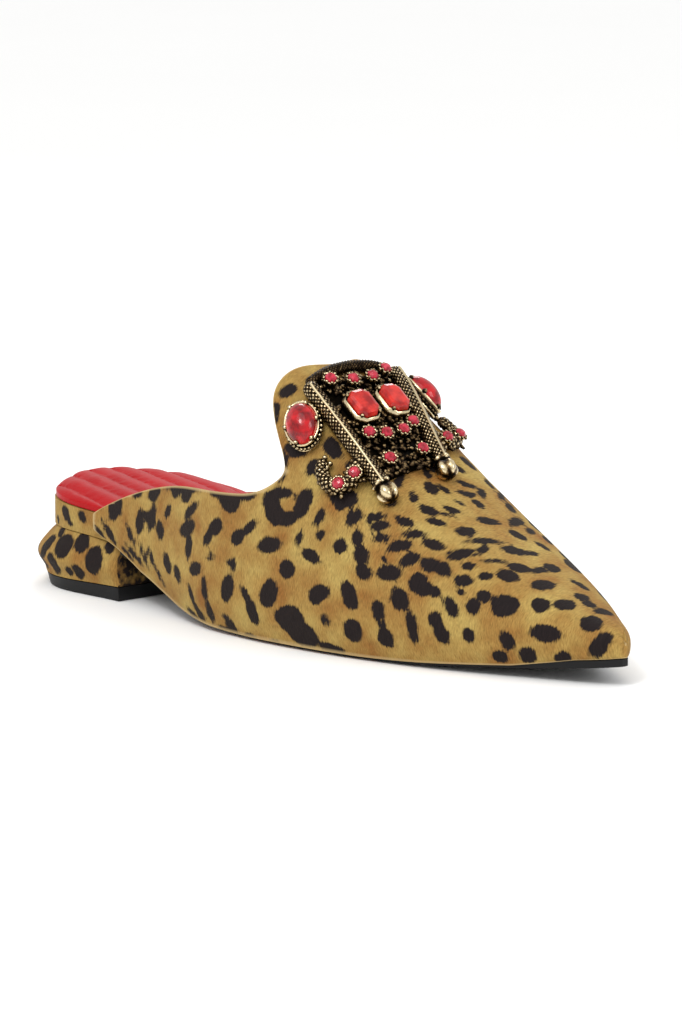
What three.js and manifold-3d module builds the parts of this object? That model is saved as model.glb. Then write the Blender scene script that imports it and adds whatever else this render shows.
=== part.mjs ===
// A flat pointed mule for the right foot: a calf hair upper whose tall rounded tab carries a brooch set
// with stones, a quilted sock on a wrapped footbed, a thin outsole and a low flared block heel.
// Millimetres. +X runs to the toe, +Y to the wearer's left, which is this shoe's inner side, and +Z up.
// The origin is on the floor, in the middle of the shoe's length and width.
import * as THREE from 'three';
import { mergeVertices } from 'three/addons/utils/BufferGeometryUtils.js';
import Module from 'manifold-3d';

const wasm = await Module();
wasm.setup();

// Driving dimensions
const LENGTH = 264; // back of the footbed to the tip of the toe
const WALL = 1.8; // the upper's calf hair and lining
const GAP = 0.3; // clearance between pieces that meet
const SOLE_THICKNESS = 2.4;
const HEEL_LENGTH = 52; // back of the footbed to the heel's breast
const HEEL_ROUND = 29; // length of the round back of the heel seat
const HEEL_ROUND_POWER = 2.3; // how square that round is; 2 is an ellipse
const NOSE_ROUND = 7; // length of the round tip of the toe
const NOSE_HEIGHT = 0.45; // the share of the toe's height that is left at the very tip
const BELLY_LIMIT = 0.45; // the widest line stays below this share of a section's height
const TUCK_LIMIT = 0.4; // and the tuck below this share of its half width
const WALL_SLANT = 0.85; // the share of the wall's thickness that counts sideways at the feather line

const LATERAL = -1;
const MEDIAL = 1;

// The last, a row for each section. "at" is the share of the length from the back of the heel, "lateral"
// and "medial" are the widest half widths from the heel's centre line, "seat" is the height of the feather
// line and "crown" that of the top line.
const LAST = [
  { at: 0.00, lateral: 33.0, medial: 33.0, seat: 21.0, crown: 94 },
  { at: 0.10, lateral: 33.0, medial: 33.0, seat: 20.7, crown: 94 },
  { at: 0.18, lateral: 32.5, medial: 32.0, seat: 19.6, crown: 94 },
  { at: 0.25, lateral: 33.5, medial: 30.5, seat: 15.0, crown: 94 },
  { at: 0.31, lateral: 36.0, medial: 30.0, seat: 9.6, crown: 94 },
  { at: 0.37, lateral: 39.5, medial: 30.5, seat: 5.2, crown: 94 },
  { at: 0.43, lateral: 42.0, medial: 34.0, seat: 3.1, crown: 93 },
  { at: 0.50, lateral: 42.0, medial: 37.0, seat: 2.7, crown: 87.5 },
  { at: 0.55, lateral: 41.0, medial: 39.0, seat: 2.7, crown: 79.5 },
  { at: 0.60, lateral: 39.5, medial: 40.0, seat: 2.7, crown: 69.5 },
  { at: 0.66, lateral: 36.5, medial: 40.5, seat: 2.7, crown: 57.0 },
  { at: 0.74, lateral: 31.0, medial: 38.0, seat: 3.2, crown: 45.0 },
  { at: 0.82, lateral: 23.5, medial: 32.0, seat: 4.6, crown: 35.2 },
  { at: 0.90, lateral: 14.0, medial: 22.5, seat: 6.3, crown: 26.5 },
  { at: 0.96, lateral: 6.5, medial: 12.8, seat: 7.9, crown: 20.5 },
  { at: 1.00, lateral: 1.5, medial: 6.8, seat: 9.2, crown: 17 },
];

// The shape of those sections: "belly" is the height of the widest line above the feather line, "tuck" how
// far the wall turns under from the widest line to the feather line, "arch" the exponent of the curve
// above the widest line and "lean" the share by which that curve narrows towards the crown.
const SECTION = [
  { at: 0.00, belly: 8, tuck: 1.0, arch: 3.2, lean: 0.2 },
  { at: 0.10, belly: 8, tuck: 1.0, arch: 3.2, lean: 0.2 },
  { at: 0.18, belly: 8, tuck: 1.0, arch: 3.2, lean: 0.2 },
  { at: 0.25, belly: 9, tuck: 1.4, arch: 3.2, lean: 0.2 },
  { at: 0.31, belly: 10, tuck: 2.0, arch: 3.2, lean: 0.2 },
  { at: 0.37, belly: 11, tuck: 2.4, arch: 3.2, lean: 0.22 },
  { at: 0.43, belly: 11, tuck: 2.8, arch: 3.2, lean: 0.22 },
  { at: 0.50, belly: 11, tuck: 2.8, arch: 3.2, lean: 0.21 },
  { at: 0.55, belly: 11, tuck: 2.8, arch: 3.1, lean: 0.18 },
  { at: 0.60, belly: 11, tuck: 2.8, arch: 3.05, lean: 0.13 },
  { at: 0.66, belly: 10, tuck: 2.8, arch: 2.95, lean: 0.1 },
  { at: 0.74, belly: 9, tuck: 2.8, arch: 2.6, lean: 0.05 },
  { at: 0.82, belly: 8.5, tuck: 2.6, arch: 2.35, lean: 0.02 },
  { at: 0.90, belly: 7.5, tuck: 2.2, arch: 2.15, lean: 0 },
  { at: 0.96, belly: 6, tuck: 1.8, arch: 2.0, lean: 0 },
  { at: 1.00, belly: 4, tuck: 1.2, arch: 2.0, lean: 0 },
];

// The edges of the quarters, from the upper's back end to the throat: the top edge's height over the floor
// on each side, and "under", how far the bottom edge lies above the feather line.
const QUARTERS = [
  { at: 0.156, lateral: 29.2, medial: 28.8, under: 3.0 },
  { at: 0.172, lateral: 31.4, medial: 29.4, under: 1.2 },
  { at: 0.196, lateral: 34.4, medial: 30.4, under: 0 },
  { at: 0.240, lateral: 38.8, medial: 32.5, under: 0 },
  { at: 0.290, lateral: 42.6, medial: 35.5, under: 0 },
  { at: 0.350, lateral: 45.4, medial: 39.5, under: 0 },
  { at: 0.420, lateral: 46.4, medial: 42.5, under: 0 },
  { at: 0.480, lateral: 47.5, medial: 45.5, under: 0 },
  { at: 0.520, lateral: 51.0, medial: 50.0, under: 0 },
  { at: 0.542, lateral: 56.5, medial: 56.5, under: 0 },
];

// The tab's edge: "rise" is the share of the way round the wall from the throat to the top, and "at" the
// share of the length where the tab's edge lies.
const TAB = [
  { rise: 0.00, at: 0.542 },
  { rise: 0.12, at: 0.527 },
  { rise: 0.30, at: 0.498 },
  { rise: 0.50, at: 0.480 },
  { rise: 0.70, at: 0.484 },
  { rise: 0.86, at: 0.496 },
  { rise: 1.00, at: 0.501 },
];

// The wrapped footbed: "thick" is its height over the feather line.
const FOOTBED = [
  { at: 0.00, thick: 9.4 },
  { at: 0.05, thick: 9.0 },
  { at: 0.12, thick: 8.2 },
  { at: 0.18, thick: 8.4 },
  { at: 0.25, thick: 9.5 },
  { at: 0.31, thick: 9.0 },
  { at: 0.40, thick: 6.0 },
  { at: 0.50, thick: 4.0 },
  { at: 0.60, thick: 3.0 },
  { at: 1.00, thick: 2.6 },
];

// The block heel: "level" is the share of its height from the lift to the seat, and "flare" how far the
// back stands out beyond the seat's outline.
const HEEL = [
  { level: 0.00, flare: 3.6 },
  { level: 0.25, flare: 5.2 },
  { level: 0.46, flare: 7.6 },
  { level: 0.56, flare: 7.6 },
  { level: 0.78, flare: 3.8 },
  { level: 1.00, flare: -0.4 },
];
const BREAST_FLARE = 0.3; // the share of the flare that is left at the breast
const LIFT_BACK = 3.6; // the lift's height at the back of the heel
const LIFT_FRONT = 4.6; // and at its breast
const LIFT_ROCKER = 1.6; // the lift's underside is worn up this much at the back
const LIFT_ROCKER_LENGTH = 16;

// A smooth curve through one column of a table, which never runs past its rows.
function curveThrough(table, column, by = 'at') {
  const x = table.map((row) => row[by]);
  const y = table.map((row) => row[column]);
  const slope = x.slice(1).map((next, i) => (y[i + 1] - y[i]) / (next - x[i]));
  const tangent = x.map((_, i) => {
    const before = slope[Math.max(i - 1, 0)];
    const after = slope[Math.min(i, slope.length - 1)];
    return before * after <= 0 ? 0 : (2 * before * after) / (before + after);
  });
  return (at) => {
    let i = x.length - 2;
    while (i > 0 && at < x[i]) i -= 1;
    const span = x[i + 1] - x[i];
    const t = THREE.MathUtils.clamp((at - x[i]) / span, 0, 1);
    const rise = t * t * (3 - 2 * t);
    const bend = tangent[i] * t * (1 - t) ** 2 - tangent[i + 1] * t * t * (1 - t);
    return y[i] + (y[i + 1] - y[i]) * rise + span * bend;
  };
}

const column = (table, name, by) => {
  const curve = curveThrough(table, name, by);
  return (s) => curve(s / LENGTH);
};
const lateralWidth = column(LAST, 'lateral');
const medialWidth = column(LAST, 'medial');
const seatHeight = column(LAST, 'seat');
const crownHeight = column(LAST, 'crown');
const bellyHeight = column(SECTION, 'belly');
const tuckWidth = column(SECTION, 'tuck');
const archPower = column(SECTION, 'arch');
const leanShare = column(SECTION, 'lean');
const footbedThickness = column(FOOTBED, 'thick');
const quarterHeight = {
  [LATERAL]: column(QUARTERS, 'lateral'),
  [MEDIAL]: column(QUARTERS, 'medial'),
};
const quarterUnder = column(QUARTERS, 'under');
const tabEdge = curveThrough(TAB, 'at', 'rise');
const heelFlare = curveThrough(HEEL, 'flare', 'level');

// The round ends of the plan: 1 along the foot, falling to 0 in a quarter round at the heel and at the toe.
function roundEnd(s) {
  const heel = Math.max(0, (HEEL_ROUND - s) / HEEL_ROUND);
  const nose = Math.max(0, (s - LENGTH + NOSE_ROUND) / NOSE_ROUND);
  const back = Math.max(0, 1 - heel ** HEEL_ROUND_POWER) ** (1 / HEEL_ROUND_POWER);
  return back * Math.sqrt(Math.max(0, 1 - nose ** 2));
}

const centreY = (s) => (medialWidth(s) - lateralWidth(s)) / 2;
const halfWidth = (s) => (medialWidth(s) + lateralWidth(s)) / 2;
const edgeY = (s, side, inset) => centreY(s) + side * (halfWidth(s) - inset) * roundEnd(s);

// A point of one side of the last's section at s, by angle: -1 at the feather line, 0 at the widest line
// and 1 at the crown.
function sectionPoint(s, side, angle) {
  const round = s > LENGTH / 2 ? roundEnd(s) : 1;
  const seat = seatHeight(s);
  const crown = seat + (crownHeight(s) - seat) * THREE.MathUtils.lerp(NOSE_HEIGHT, 1, round);
  const belly = Math.min(bellyHeight(s), BELLY_LIMIT * (crown - seat));
  const half = halfWidth(s) * round;
  const tuck = Math.min(tuckWidth(s), TUCK_LIMIT * half);
  const quarter = Math.PI / 2;
  if (angle < 0) {
    const turn = (1 + angle) * quarter;
    const out = half - tuck * (1 - Math.sin(turn));
    return [centreY(s) + side * out, seat + belly * (1 - Math.cos(turn))];
  }
  const power = 2 / archPower(s);
  const up = Math.sin(angle * quarter) ** power;
  const out = half * Math.cos(angle * quarter) ** power * (1 - leanShare(s) * up);
  return [centreY(s) + side * out, seat + belly + (crown - seat - belly) * up];
}

// One side of the section at s as a fine line, with the distance run along it.
const SECTION_STEPS = 40;
function sectionLine(s, side) {
  const points = [sectionPoint(s, side, -1)];
  const run = [0];
  for (let i = 1; i <= SECTION_STEPS; i += 1) {
    const [from, to] = [points[i - 1], sectionPoint(s, side, -1 + (2 * i) / SECTION_STEPS)];
    points.push(to);
    run.push(run[i - 1] + Math.hypot(to[0] - from[0], to[1] - from[1]));
  }
  return { points, run, length: run[SECTION_STEPS] };
}

// The last's surface: s along the foot, "up" the share of the way round one side from feather line to
// crown.
function lastPoint(s, side, up) {
  const { points, run, length } = sectionLine(s, side);
  const wanted = up * length;
  let i = 1;
  while (i < SECTION_STEPS && run[i] < wanted) i += 1;
  const share = (wanted - run[i - 1]) / Math.max(run[i] - run[i - 1], 1e-9);
  const y = THREE.MathUtils.lerp(points[i - 1][0], points[i][0], share);
  const z = THREE.MathUtils.lerp(points[i - 1][1], points[i][1], share);
  return new THREE.Vector3(s, y, z);
}

// The last's outward normal at the same place, from points a step away along the foot and round the wall.
const STEP_ALONG = 0.5;
const STEP_UP = 0.02;
const TINY = 1e-6;
function lastNormal(s, side, up) {
  if (s > LENGTH - TINY) return new THREE.Vector3(1, 0, 0);
  const ahead = lastPoint(Math.min(s + STEP_ALONG, LENGTH), side, up);
  const along = ahead.sub(lastPoint(s - STEP_ALONG, side, up));
  const low = lastPoint(s, side, Math.max(up - STEP_UP, 0));
  const high = up + STEP_UP <= 1 ? lastPoint(s, side, up + STEP_UP) : lastPoint(s, -side, 2 - up - STEP_UP);
  const normal = along.cross(high.sub(low)).normalize();
  return side === MEDIAL ? normal.negate() : normal;
}

// A closed mesh from points and triangles, with its faces pointing out.
function solid(points, triangles) {
  const geometry = new THREE.BufferGeometry();
  const numbers = points.flatMap((point) => point.toArray());
  geometry.setAttribute('position', new THREE.Float32BufferAttribute(numbers, 3));
  geometry.setIndex(triangles.flat());
  const merged = mergeVertices(geometry, 1e-4);
  const index = merged.index.array;
  const kept = [];
  for (let i = 0; i < index.length; i += 3) {
    const [a, b, c] = [index[i], index[i + 1], index[i + 2]];
    if (a !== b && b !== c && a !== c) kept.push(a, b, c);
  }
  merged.setIndex(kept);
  return merged;
}

// A solid through rings of equal length, from the first ring to the last. Each end is closed by strips
// between the two halves of its ring.
function loft(rings) {
  const count = rings[0].length;
  const triangles = [];
  for (let i = 0; i + 1 < rings.length; i += 1) {
    for (let j = 0; j < count; j += 1) {
      const [a, b] = [i * count + j, i * count + ((j + 1) % count)];
      triangles.push([a, b, b + count], [a, b + count, a + count]);
    }
  }
  const last = (rings.length - 1) * count;
  for (let j = 0; 2 * j + 2 < count; j += 1) {
    const [near, far] = [j, count - 1 - j];
    triangles.push([near, far, near + 1], [near + 1, far, far - 1]);
    triangles.push([last + near, last + near + 1, last + far]);
    triangles.push([last + near + 1, last + far - 1, last + far]);
  }
  return solid(rings.flat(), triangles);
}

// The share of the way round one side where the wall reaches a height.
function upAtHeight(s, side, height) {
  let [low, high] = [0, 1];
  for (let i = 0; i < 30; i += 1) {
    const middle = (low + high) / 2;
    if (lastPoint(s, side, middle).z < height) low = middle;
    else high = middle;
  }
  return (low + high) / 2;
}

// The upper is the part of the last's surface that the leather covers, one wall thick and open below. It
// is laid out as quads of places on the last in three fields: the quarters behind the throat, the tab
// above it and the vamp in front.
const QUARTER_ROWS = 8;
const TAB_ROWS = 9;
const QUARTER_STEPS = 14;
const TAB_STEPS = 5;
const VAMP_STEPS = 22;
const QUARTER_SPACING = 1.3; // steps grow shorter towards the throat
const VAMP_SPACING = 1.6; // and towards the toe
function upperGeometry() {
  const back = QUARTERS[0].at * LENGTH;
  const throat = TAB[0].at * LENGTH;
  const places = [];
  const found = new Map();
  const quads = [];
  const place = (s, side, up) => {
    const key = [s.toFixed(3), up > 1 - TINY || s > LENGTH - TINY ? 0 : side, up.toFixed(5)].join(' ');
    if (!found.has(key)) {
      found.set(key, places.length);
      places.push([s, side, up]);
    }
    return found.get(key);
  };
  const field = (side, columns, rows, at) => {
    for (let i = 0; i < columns; i += 1) {
      for (let j = 0; j < rows; j += 1) {
        const quad = [at(i, j), at(i + 1, j), at(i + 1, j + 1), at(i, j + 1)];
        quads.push((side === LATERAL ? quad : quad.reverse()).map((p) => place(p[0], side, p[1])));
      }
    }
  };
  for (const side of [LATERAL, MEDIAL]) {
    const corner = upAtHeight(throat, side, quarterHeight[side](throat));
    field(side, QUARTER_STEPS, QUARTER_ROWS, (i, j) => {
      const s = THREE.MathUtils.lerp(back, throat, 1 - (1 - i / QUARTER_STEPS) ** QUARTER_SPACING);
      const top = i === QUARTER_STEPS ? corner : upAtHeight(s, side, quarterHeight[side](s));
      const bottom = i === QUARTER_STEPS ? 0 : upAtHeight(s, side, seatHeight(s) + quarterUnder(s));
      return [s, THREE.MathUtils.lerp(bottom, top, j / QUARTER_ROWS)];
    });
    field(side, TAB_STEPS, TAB_ROWS, (i, j) => {
      const edge = tabEdge(j / TAB_ROWS) * LENGTH;
      const s = THREE.MathUtils.lerp(edge, throat, i / TAB_STEPS);
      return [s, THREE.MathUtils.lerp(corner, 1, j / TAB_ROWS)];
    });
    field(side, VAMP_STEPS, QUARTER_ROWS + TAB_ROWS, (i, j) => {
      const s = THREE.MathUtils.lerp(throat, LENGTH, 1 - (1 - i / VAMP_STEPS) ** VAMP_SPACING);
      const above = (j - QUARTER_ROWS) / TAB_ROWS;
      return [s, above <= 0 ? (corner * j) / QUARTER_ROWS : THREE.MathUtils.lerp(corner, 1, above)];
    });
  }
  return wall(places, quads);
}

// A wall over quads of places on the last: the outer face, the inner face one wall further in, and strips
// along the open edges.
function wall(places, quads) {
  const outer = places.map((at) => lastPoint(...at));
  const inner = places.map((at, i) => outer[i].clone().addScaledVector(lastNormal(...at), -WALL));
  const inside = outer.length;
  const triangles = [];
  const edges = new Set();
  for (const quad of quads) {
    const [a, b, c, d] = quad;
    const direct = outer[a].distanceTo(outer[c]) < outer[b].distanceTo(outer[d]);
    const pair = direct ? [[a, b, c], [a, c, d]] : [[a, b, d], [b, c, d]];
    for (const [p, q, r] of pair) triangles.push([p, q, r], [inside + p, inside + r, inside + q]);
    quad.forEach((from, i) => {
      const to = quad[(i + 1) % 4];
      if (!edges.delete(`${to} ${from}`)) edges.add(`${from} ${to}`);
    });
  }
  for (const edge of edges) {
    const [from, to] = edge.split(' ').map(Number);
    if (from !== to) triangles.push([from, inside + from, to], [to, inside + from, inside + to]);
  }
  return solid([...outer, ...inner], triangles);
}

// Stations along a plate, closer together towards both ends.
const STATION_EASE = 0.13;
function stations(from, to, count) {
  return Array.from({ length: count + 1 }, (_, i) => {
    const t = i / count;
    return from + (to - from) * (t - Math.sin(2 * Math.PI * t) * STATION_EASE);
  });
}

// A plate under the foot: sections across the shoe from a start to an end, each a ring from its underside
// to its top.
function plate({ from, to, steps, across, inset, bottom, top, crown = 0 }) {
  const rings = stations(from, to, steps).map((s) => {
    const lateral = edgeY(s, LATERAL, inset(s));
    const medial = edgeY(s, MEDIAL, inset(s));
    const ring = [];
    for (let k = 0; k <= across; k += 1) {
      ring.push(new THREE.Vector3(s, THREE.MathUtils.lerp(lateral, medial, k / across), bottom(s)));
    }
    for (let k = across; k >= 0; k -= 1) {
      const dome = crown * Math.sqrt(1 - ((2 * k) / across - 1) ** 4);
      ring.push(new THREE.Vector3(s, THREE.MathUtils.lerp(lateral, medial, k / across), top(s) + dome));
    }
    return ring;
  });
  return loft(rings);
}

const OUTSOLE_INSET = 0.2; // inside the feather line
const OUTSOLE_SHORT = 0.6; // short of the tip of the toe
const outsoleGeometry = () =>
  plate({
    from: HEEL_LENGTH + GAP,
    to: LENGTH - OUTSOLE_SHORT,
    steps: 28,
    across: 4,
    inset: (s) => tuckWidth(s) + OUTSOLE_INSET,
    bottom: (s) => seatHeight(s) - GAP - SOLE_THICKNESS,
    top: (s) => seatHeight(s) - GAP,
  });

const FOOTBED_START = 0.25;
const FOOTBED_SHORT = 12;
const footbedInset = (s) => tuckWidth(s) + WALL_SLANT * WALL + GAP;
const footbedTop = (s) => seatHeight(s) + footbedThickness(s);
const footbedGeometry = () =>
  plate({
    from: FOOTBED_START,
    to: LENGTH - FOOTBED_SHORT,
    steps: 32,
    across: 4,
    inset: footbedInset,
    bottom: seatHeight,
    top: footbedTop,
  });

const SOCK_START = 0.8;
const SOCK_SHORT = 16;
const SOCK_INSET = 0.6; // inside the footbed's edge
const SOCK_EDGE = 2.0; // height of the pad's edge
const SOCK_CROWN = 2.6; // and of its middle over the edge
const sockGeometry = () =>
  plate({
    from: SOCK_START,
    to: LENGTH - SOCK_SHORT,
    steps: 28,
    across: 8,
    inset: (s) => footbedInset(s) + SOCK_INSET,
    bottom: (s) => footbedTop(s) + GAP,
    top: (s) => footbedTop(s) + GAP + SOCK_EDGE,
    crown: SOCK_CROWN,
  });

// The heel's outline at one height, as a ring from the medial breast corner round the back to the lateral
// one. It stands out from the seat by the flare, most at the back.
const HEEL_STEPS = 14;
const HEEL_INSET = 0.2; // the seat's outline inside the footbed's
function heelRing(height, flare) {
  const outline = [];
  for (let i = 0; i <= 2 * HEEL_STEPS; i += 1) {
    const side = i < HEEL_STEPS ? MEDIAL : LATERAL;
    const s = HEEL_LENGTH * (1 - Math.cos((Math.abs(i - HEEL_STEPS) / HEEL_STEPS) * (Math.PI / 2)));
    outline.push(new THREE.Vector2(s, edgeY(s, side, footbedInset(s) + HEEL_INSET)));
  }
  return outline.map((point, i) => {
    const before = outline[Math.max(i - 1, 0)];
    const after = outline[Math.min(i + 1, outline.length - 1)];
    const along = after.clone().sub(before).normalize();
    const out = flare * (BREAST_FLARE + (1 - BREAST_FLARE) * (1 - point.x / HEEL_LENGTH));
    const s = Math.min(point.x + along.y * out, HEEL_LENGTH);
    return new THREE.Vector3(s, point.y - along.x * out, height(point.x));
  });
}

const liftTop = (s) => LIFT_BACK + (LIFT_FRONT - LIFT_BACK) * (s / HEEL_LENGTH);
const liftBottom = (s) => LIFT_ROCKER * Math.max(0, 1 - s / LIFT_ROCKER_LENGTH) ** 2;
const HEEL_LEVELS = 10;
function heelGeometry() {
  const rings = [];
  for (let i = 0; i <= HEEL_LEVELS; i += 1) {
    const level = i / HEEL_LEVELS;
    const height = (s) => THREE.MathUtils.lerp(liftTop(s) + GAP, seatHeight(s) - GAP, level);
    rings.push(heelRing(height, heelFlare(level)));
  }
  return loft(rings);
}

// The lift's edge stands in from the heel's bottom edge, more below than above.
const LIFT_INSET_BOTTOM = 1.2;
const LIFT_INSET_TOP = 0.2;
const liftGeometry = () =>
  loft([
    heelRing(liftBottom, HEEL[0].flare - LIFT_INSET_BOTTOM),
    heelRing(liftTop, HEEL[0].flare - LIFT_INSET_TOP),
  ]);

// The brooch lies on the tab and the vamp. A place under it is "down" millimetres along the crown from the
// brooch's top and "across" millimetres round the wall from the crown, lateral side negative.
const BROOCH_TOP = 0.507 * LENGTH; // the station of the brooch's top
const BROOCH_GAP = 0.5; // the casting's clearance over the upper
const BROOCH_LEAN = 0.2; // how far it drifts to the lateral side for each millimetre down
const BROOCH_BASE = 1.8; // thickness of its pierced plate
const ROD_RADIUS = 2.7;
const KNOB_RADIUS = 3.7;
const KNOB_DROP = 2; // the knob's centre below the rod's end
const SCROLL_RADIUS = 1.9;
const SCROLL_TAPER = 0.8; // the share of the radius left at the scroll's curled end
const ARM_RADIUS = 1.4;
const ARCH_TOP = 2.5; // how far down the middle of the arch lies
const CUP_RADIUS = 2.5; // a small stone's cup
const CUP_HEIGHT = 3.6;
const CUP_TAPER = 0.8; // the share of the radius left at its foot
const CUP_SEAT = 0.3; // sunk into the plate, this far over its underside
const STONE_RADIUS = 2.15;
const STONE_GIRDLE = 0.6; // height of a small stone's straight edge
const STONE_TABLE_RADIUS = 1.25;
const STONE_TABLE = 1.8; // height of its flat top
const STONE_HEIGHT = 2;

// One half of the brooch; the other half mirrors it.
const ROD = [
  { down: 4, across: 17.5 },
  { down: 51, across: 12.5 },
];
const SCROLL = [
  { down: 37, across: 14 },
  { down: 40.4, across: 17.8 },
  { down: 39.2, across: 23.5 },
  { down: 35, across: 28.2 },
  { down: 30, across: 30 },
  { down: 26.5, across: 28 },
  { down: 28, across: 24.8 },
];
const ARM = [
  { down: 12, across: 14 },
  { down: 12, across: 23 },
];
const SMALL_STONES = [
  { down: 8, across: 11 },
  { down: 11, across: 4 },
  { down: 32, across: 8.8 },
  { down: 35, across: 3.4 },
  { down: 44, across: 6.6 },
  { down: 40.4, across: 19 },
  { down: 37.6, across: 25.4 },
];
const BAGUETTE = {
  down: 22,
  across: 6.3,
  long: 11,
  wide: 9.8,
  corner: 2,
  seat: 0.6,
  bezel: 3.4,
  rim: 0.9,
  height: 3.2,
  bevel: 1.6,
};
const CABOCHON = { down: 12, across: 26.2, long: 13, wide: 11, bezel: 3, foot: 1.2, lip: 1.12, height: 5.5 };

// The station along the last that lies a distance down the crown from the brooch's top.
function crownStation(down) {
  let s = BROOCH_TOP;
  let from = lastPoint(s, LATERAL, 1);
  for (let run = 0; run < down; ) {
    s += STEP_ALONG;
    const to = lastPoint(s, LATERAL, 1);
    run += to.distanceTo(from);
    from = to;
  }
  return s;
}

// The frame at a place under the brooch: the point on the upper, the way out, the way down and the way
// across.
function broochFrame(down, straight) {
  const s = crownStation(down);
  const across = straight - BROOCH_LEAN * down;
  const side = across < 0 ? LATERAL : MEDIAL;
  const up = 1 - Math.abs(across) / sectionLine(s, side).length;
  const out = lastNormal(s, side, up);
  const along = lastPoint(s + STEP_ALONG, side, up).sub(lastPoint(s - STEP_ALONG, side, up)).normalize();
  const sideways = out.clone().cross(along).normalize();
  return { point: lastPoint(s, side, up), out, along: sideways.clone().cross(out), sideways };
}

// Stands a geometry made around +Z on the brooch's place, with its X down the tab.
function standOn(geometry, down, across, height) {
  const { point, out, along, sideways } = broochFrame(down, across);
  const matrix = new THREE.Matrix4().makeBasis(along, sideways, out);
  matrix.setPosition(point.clone().addScaledVector(out, height));
  return geometry.applyMatrix4(matrix);
}

// A round bar lying on the upper along a smooth line through a table's rows, tapering to its far end.
function bar(table, mirror, radius, steps, sides, taper = 1) {
  const rows = table.map((row) => new THREE.Vector3(row.down, mirror * row.across, 0));
  const line = new THREE.CatmullRomCurve3(rows);
  const rings = [];
  for (let i = 0; i <= steps; i += 1) {
    const here = line.getPoint(i / steps);
    const { point, out, along, sideways } = broochFrame(here.x, here.y);
    const heading = line.getTangent(i / steps);
    const forward = along.multiplyScalar(heading.x).addScaledVector(sideways, heading.y);
    const across = out.clone().cross(forward).normalize();
    const r = radius * THREE.MathUtils.lerp(1, taper, i / steps);
    const centre = point.addScaledVector(out, BROOCH_GAP + r);
    rings.push(Array.from({ length: sides }, (_, k) => {
      const turn = (2 * Math.PI * k) / sides;
      const outward = across.clone().multiplyScalar(Math.cos(turn)).addScaledVector(out, Math.sin(turn));
      return centre.clone().addScaledVector(outward, r);
    }));
  }
  return loft(rings);
}

// The pierced plate that the stones sit on, between the two rods.
function broochPlate() {
  const across = 6;
  const steps = 10;
  const [top, bottom] = ROD;
  const rings = [];
  for (let i = 0; i <= steps; i += 1) {
    const down = THREE.MathUtils.lerp(top.down, bottom.down - 1, i / steps);
    const half = THREE.MathUtils.mapLinear(down, top.down, bottom.down, top.across, bottom.across);
    const ring = [];
    for (const [level, way] of [[BROOCH_GAP, 1], [BROOCH_GAP + BROOCH_BASE, -1]]) {
      for (let k = 0; k <= across; k += 1) {
        const { point, out } = broochFrame(down, way * half * ((2 * k) / across - 1));
        ring.push(point.addScaledVector(out, level));
      }
    }
    rings.push(ring);
  }
  return loft(rings);
}

// An outline of a stone seen from above: a rectangle with cut corners, or an oval.
function cutCorners({ long, wide, corner }, grow) {
  const [x, y] = [long / 2 + grow, wide / 2 + grow];
  const corners = [[x, y - corner], [x - corner, y], [corner - x, y], [-x, y - corner]];
  const outline = [...corners, ...corners.map(([a, b]) => [-a, -b])];
  return new THREE.Shape(outline.map(([a, b]) => new THREE.Vector2(a, b)));
}

const OVAL_SIDES = 14;
function ovalRing({ long, wide }, scale, height) {
  return Array.from({ length: OVAL_SIDES }, (_, k) => {
    const turn = (2 * Math.PI * k) / OVAL_SIDES;
    const half = scale / 2;
    return new THREE.Vector3(half * long * Math.cos(turn), half * wide * Math.sin(turn), height);
  });
}

const raise = (shape, depth) => new THREE.ExtrudeGeometry(shape, { depth, bevelEnabled: false });

// A manifold solid from a closed geometry, and the joined solid of several.
function manifold(geometry) {
  const bare = geometry.index ? geometry.toNonIndexed() : geometry.clone();
  bare.deleteAttribute('normal');
  bare.deleteAttribute('uv');
  const merged = mergeVertices(bare, 1e-4);
  const mesh = new wasm.Mesh({
    numProp: 3,
    vertProperties: merged.attributes.position.array,
    triVerts: new Uint32Array(merged.index.array),
  });
  return new wasm.Manifold(mesh);
}

function fuse(geometries) {
  const joined = geometries.map(manifold).reduce((whole, part) => whole.add(part)).getMesh();
  const geometry = new THREE.BufferGeometry();
  geometry.setAttribute('position', new THREE.Float32BufferAttribute(joined.vertProperties, 3));
  geometry.setIndex(Array.from(joined.triVerts));
  return geometry;
}

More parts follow.
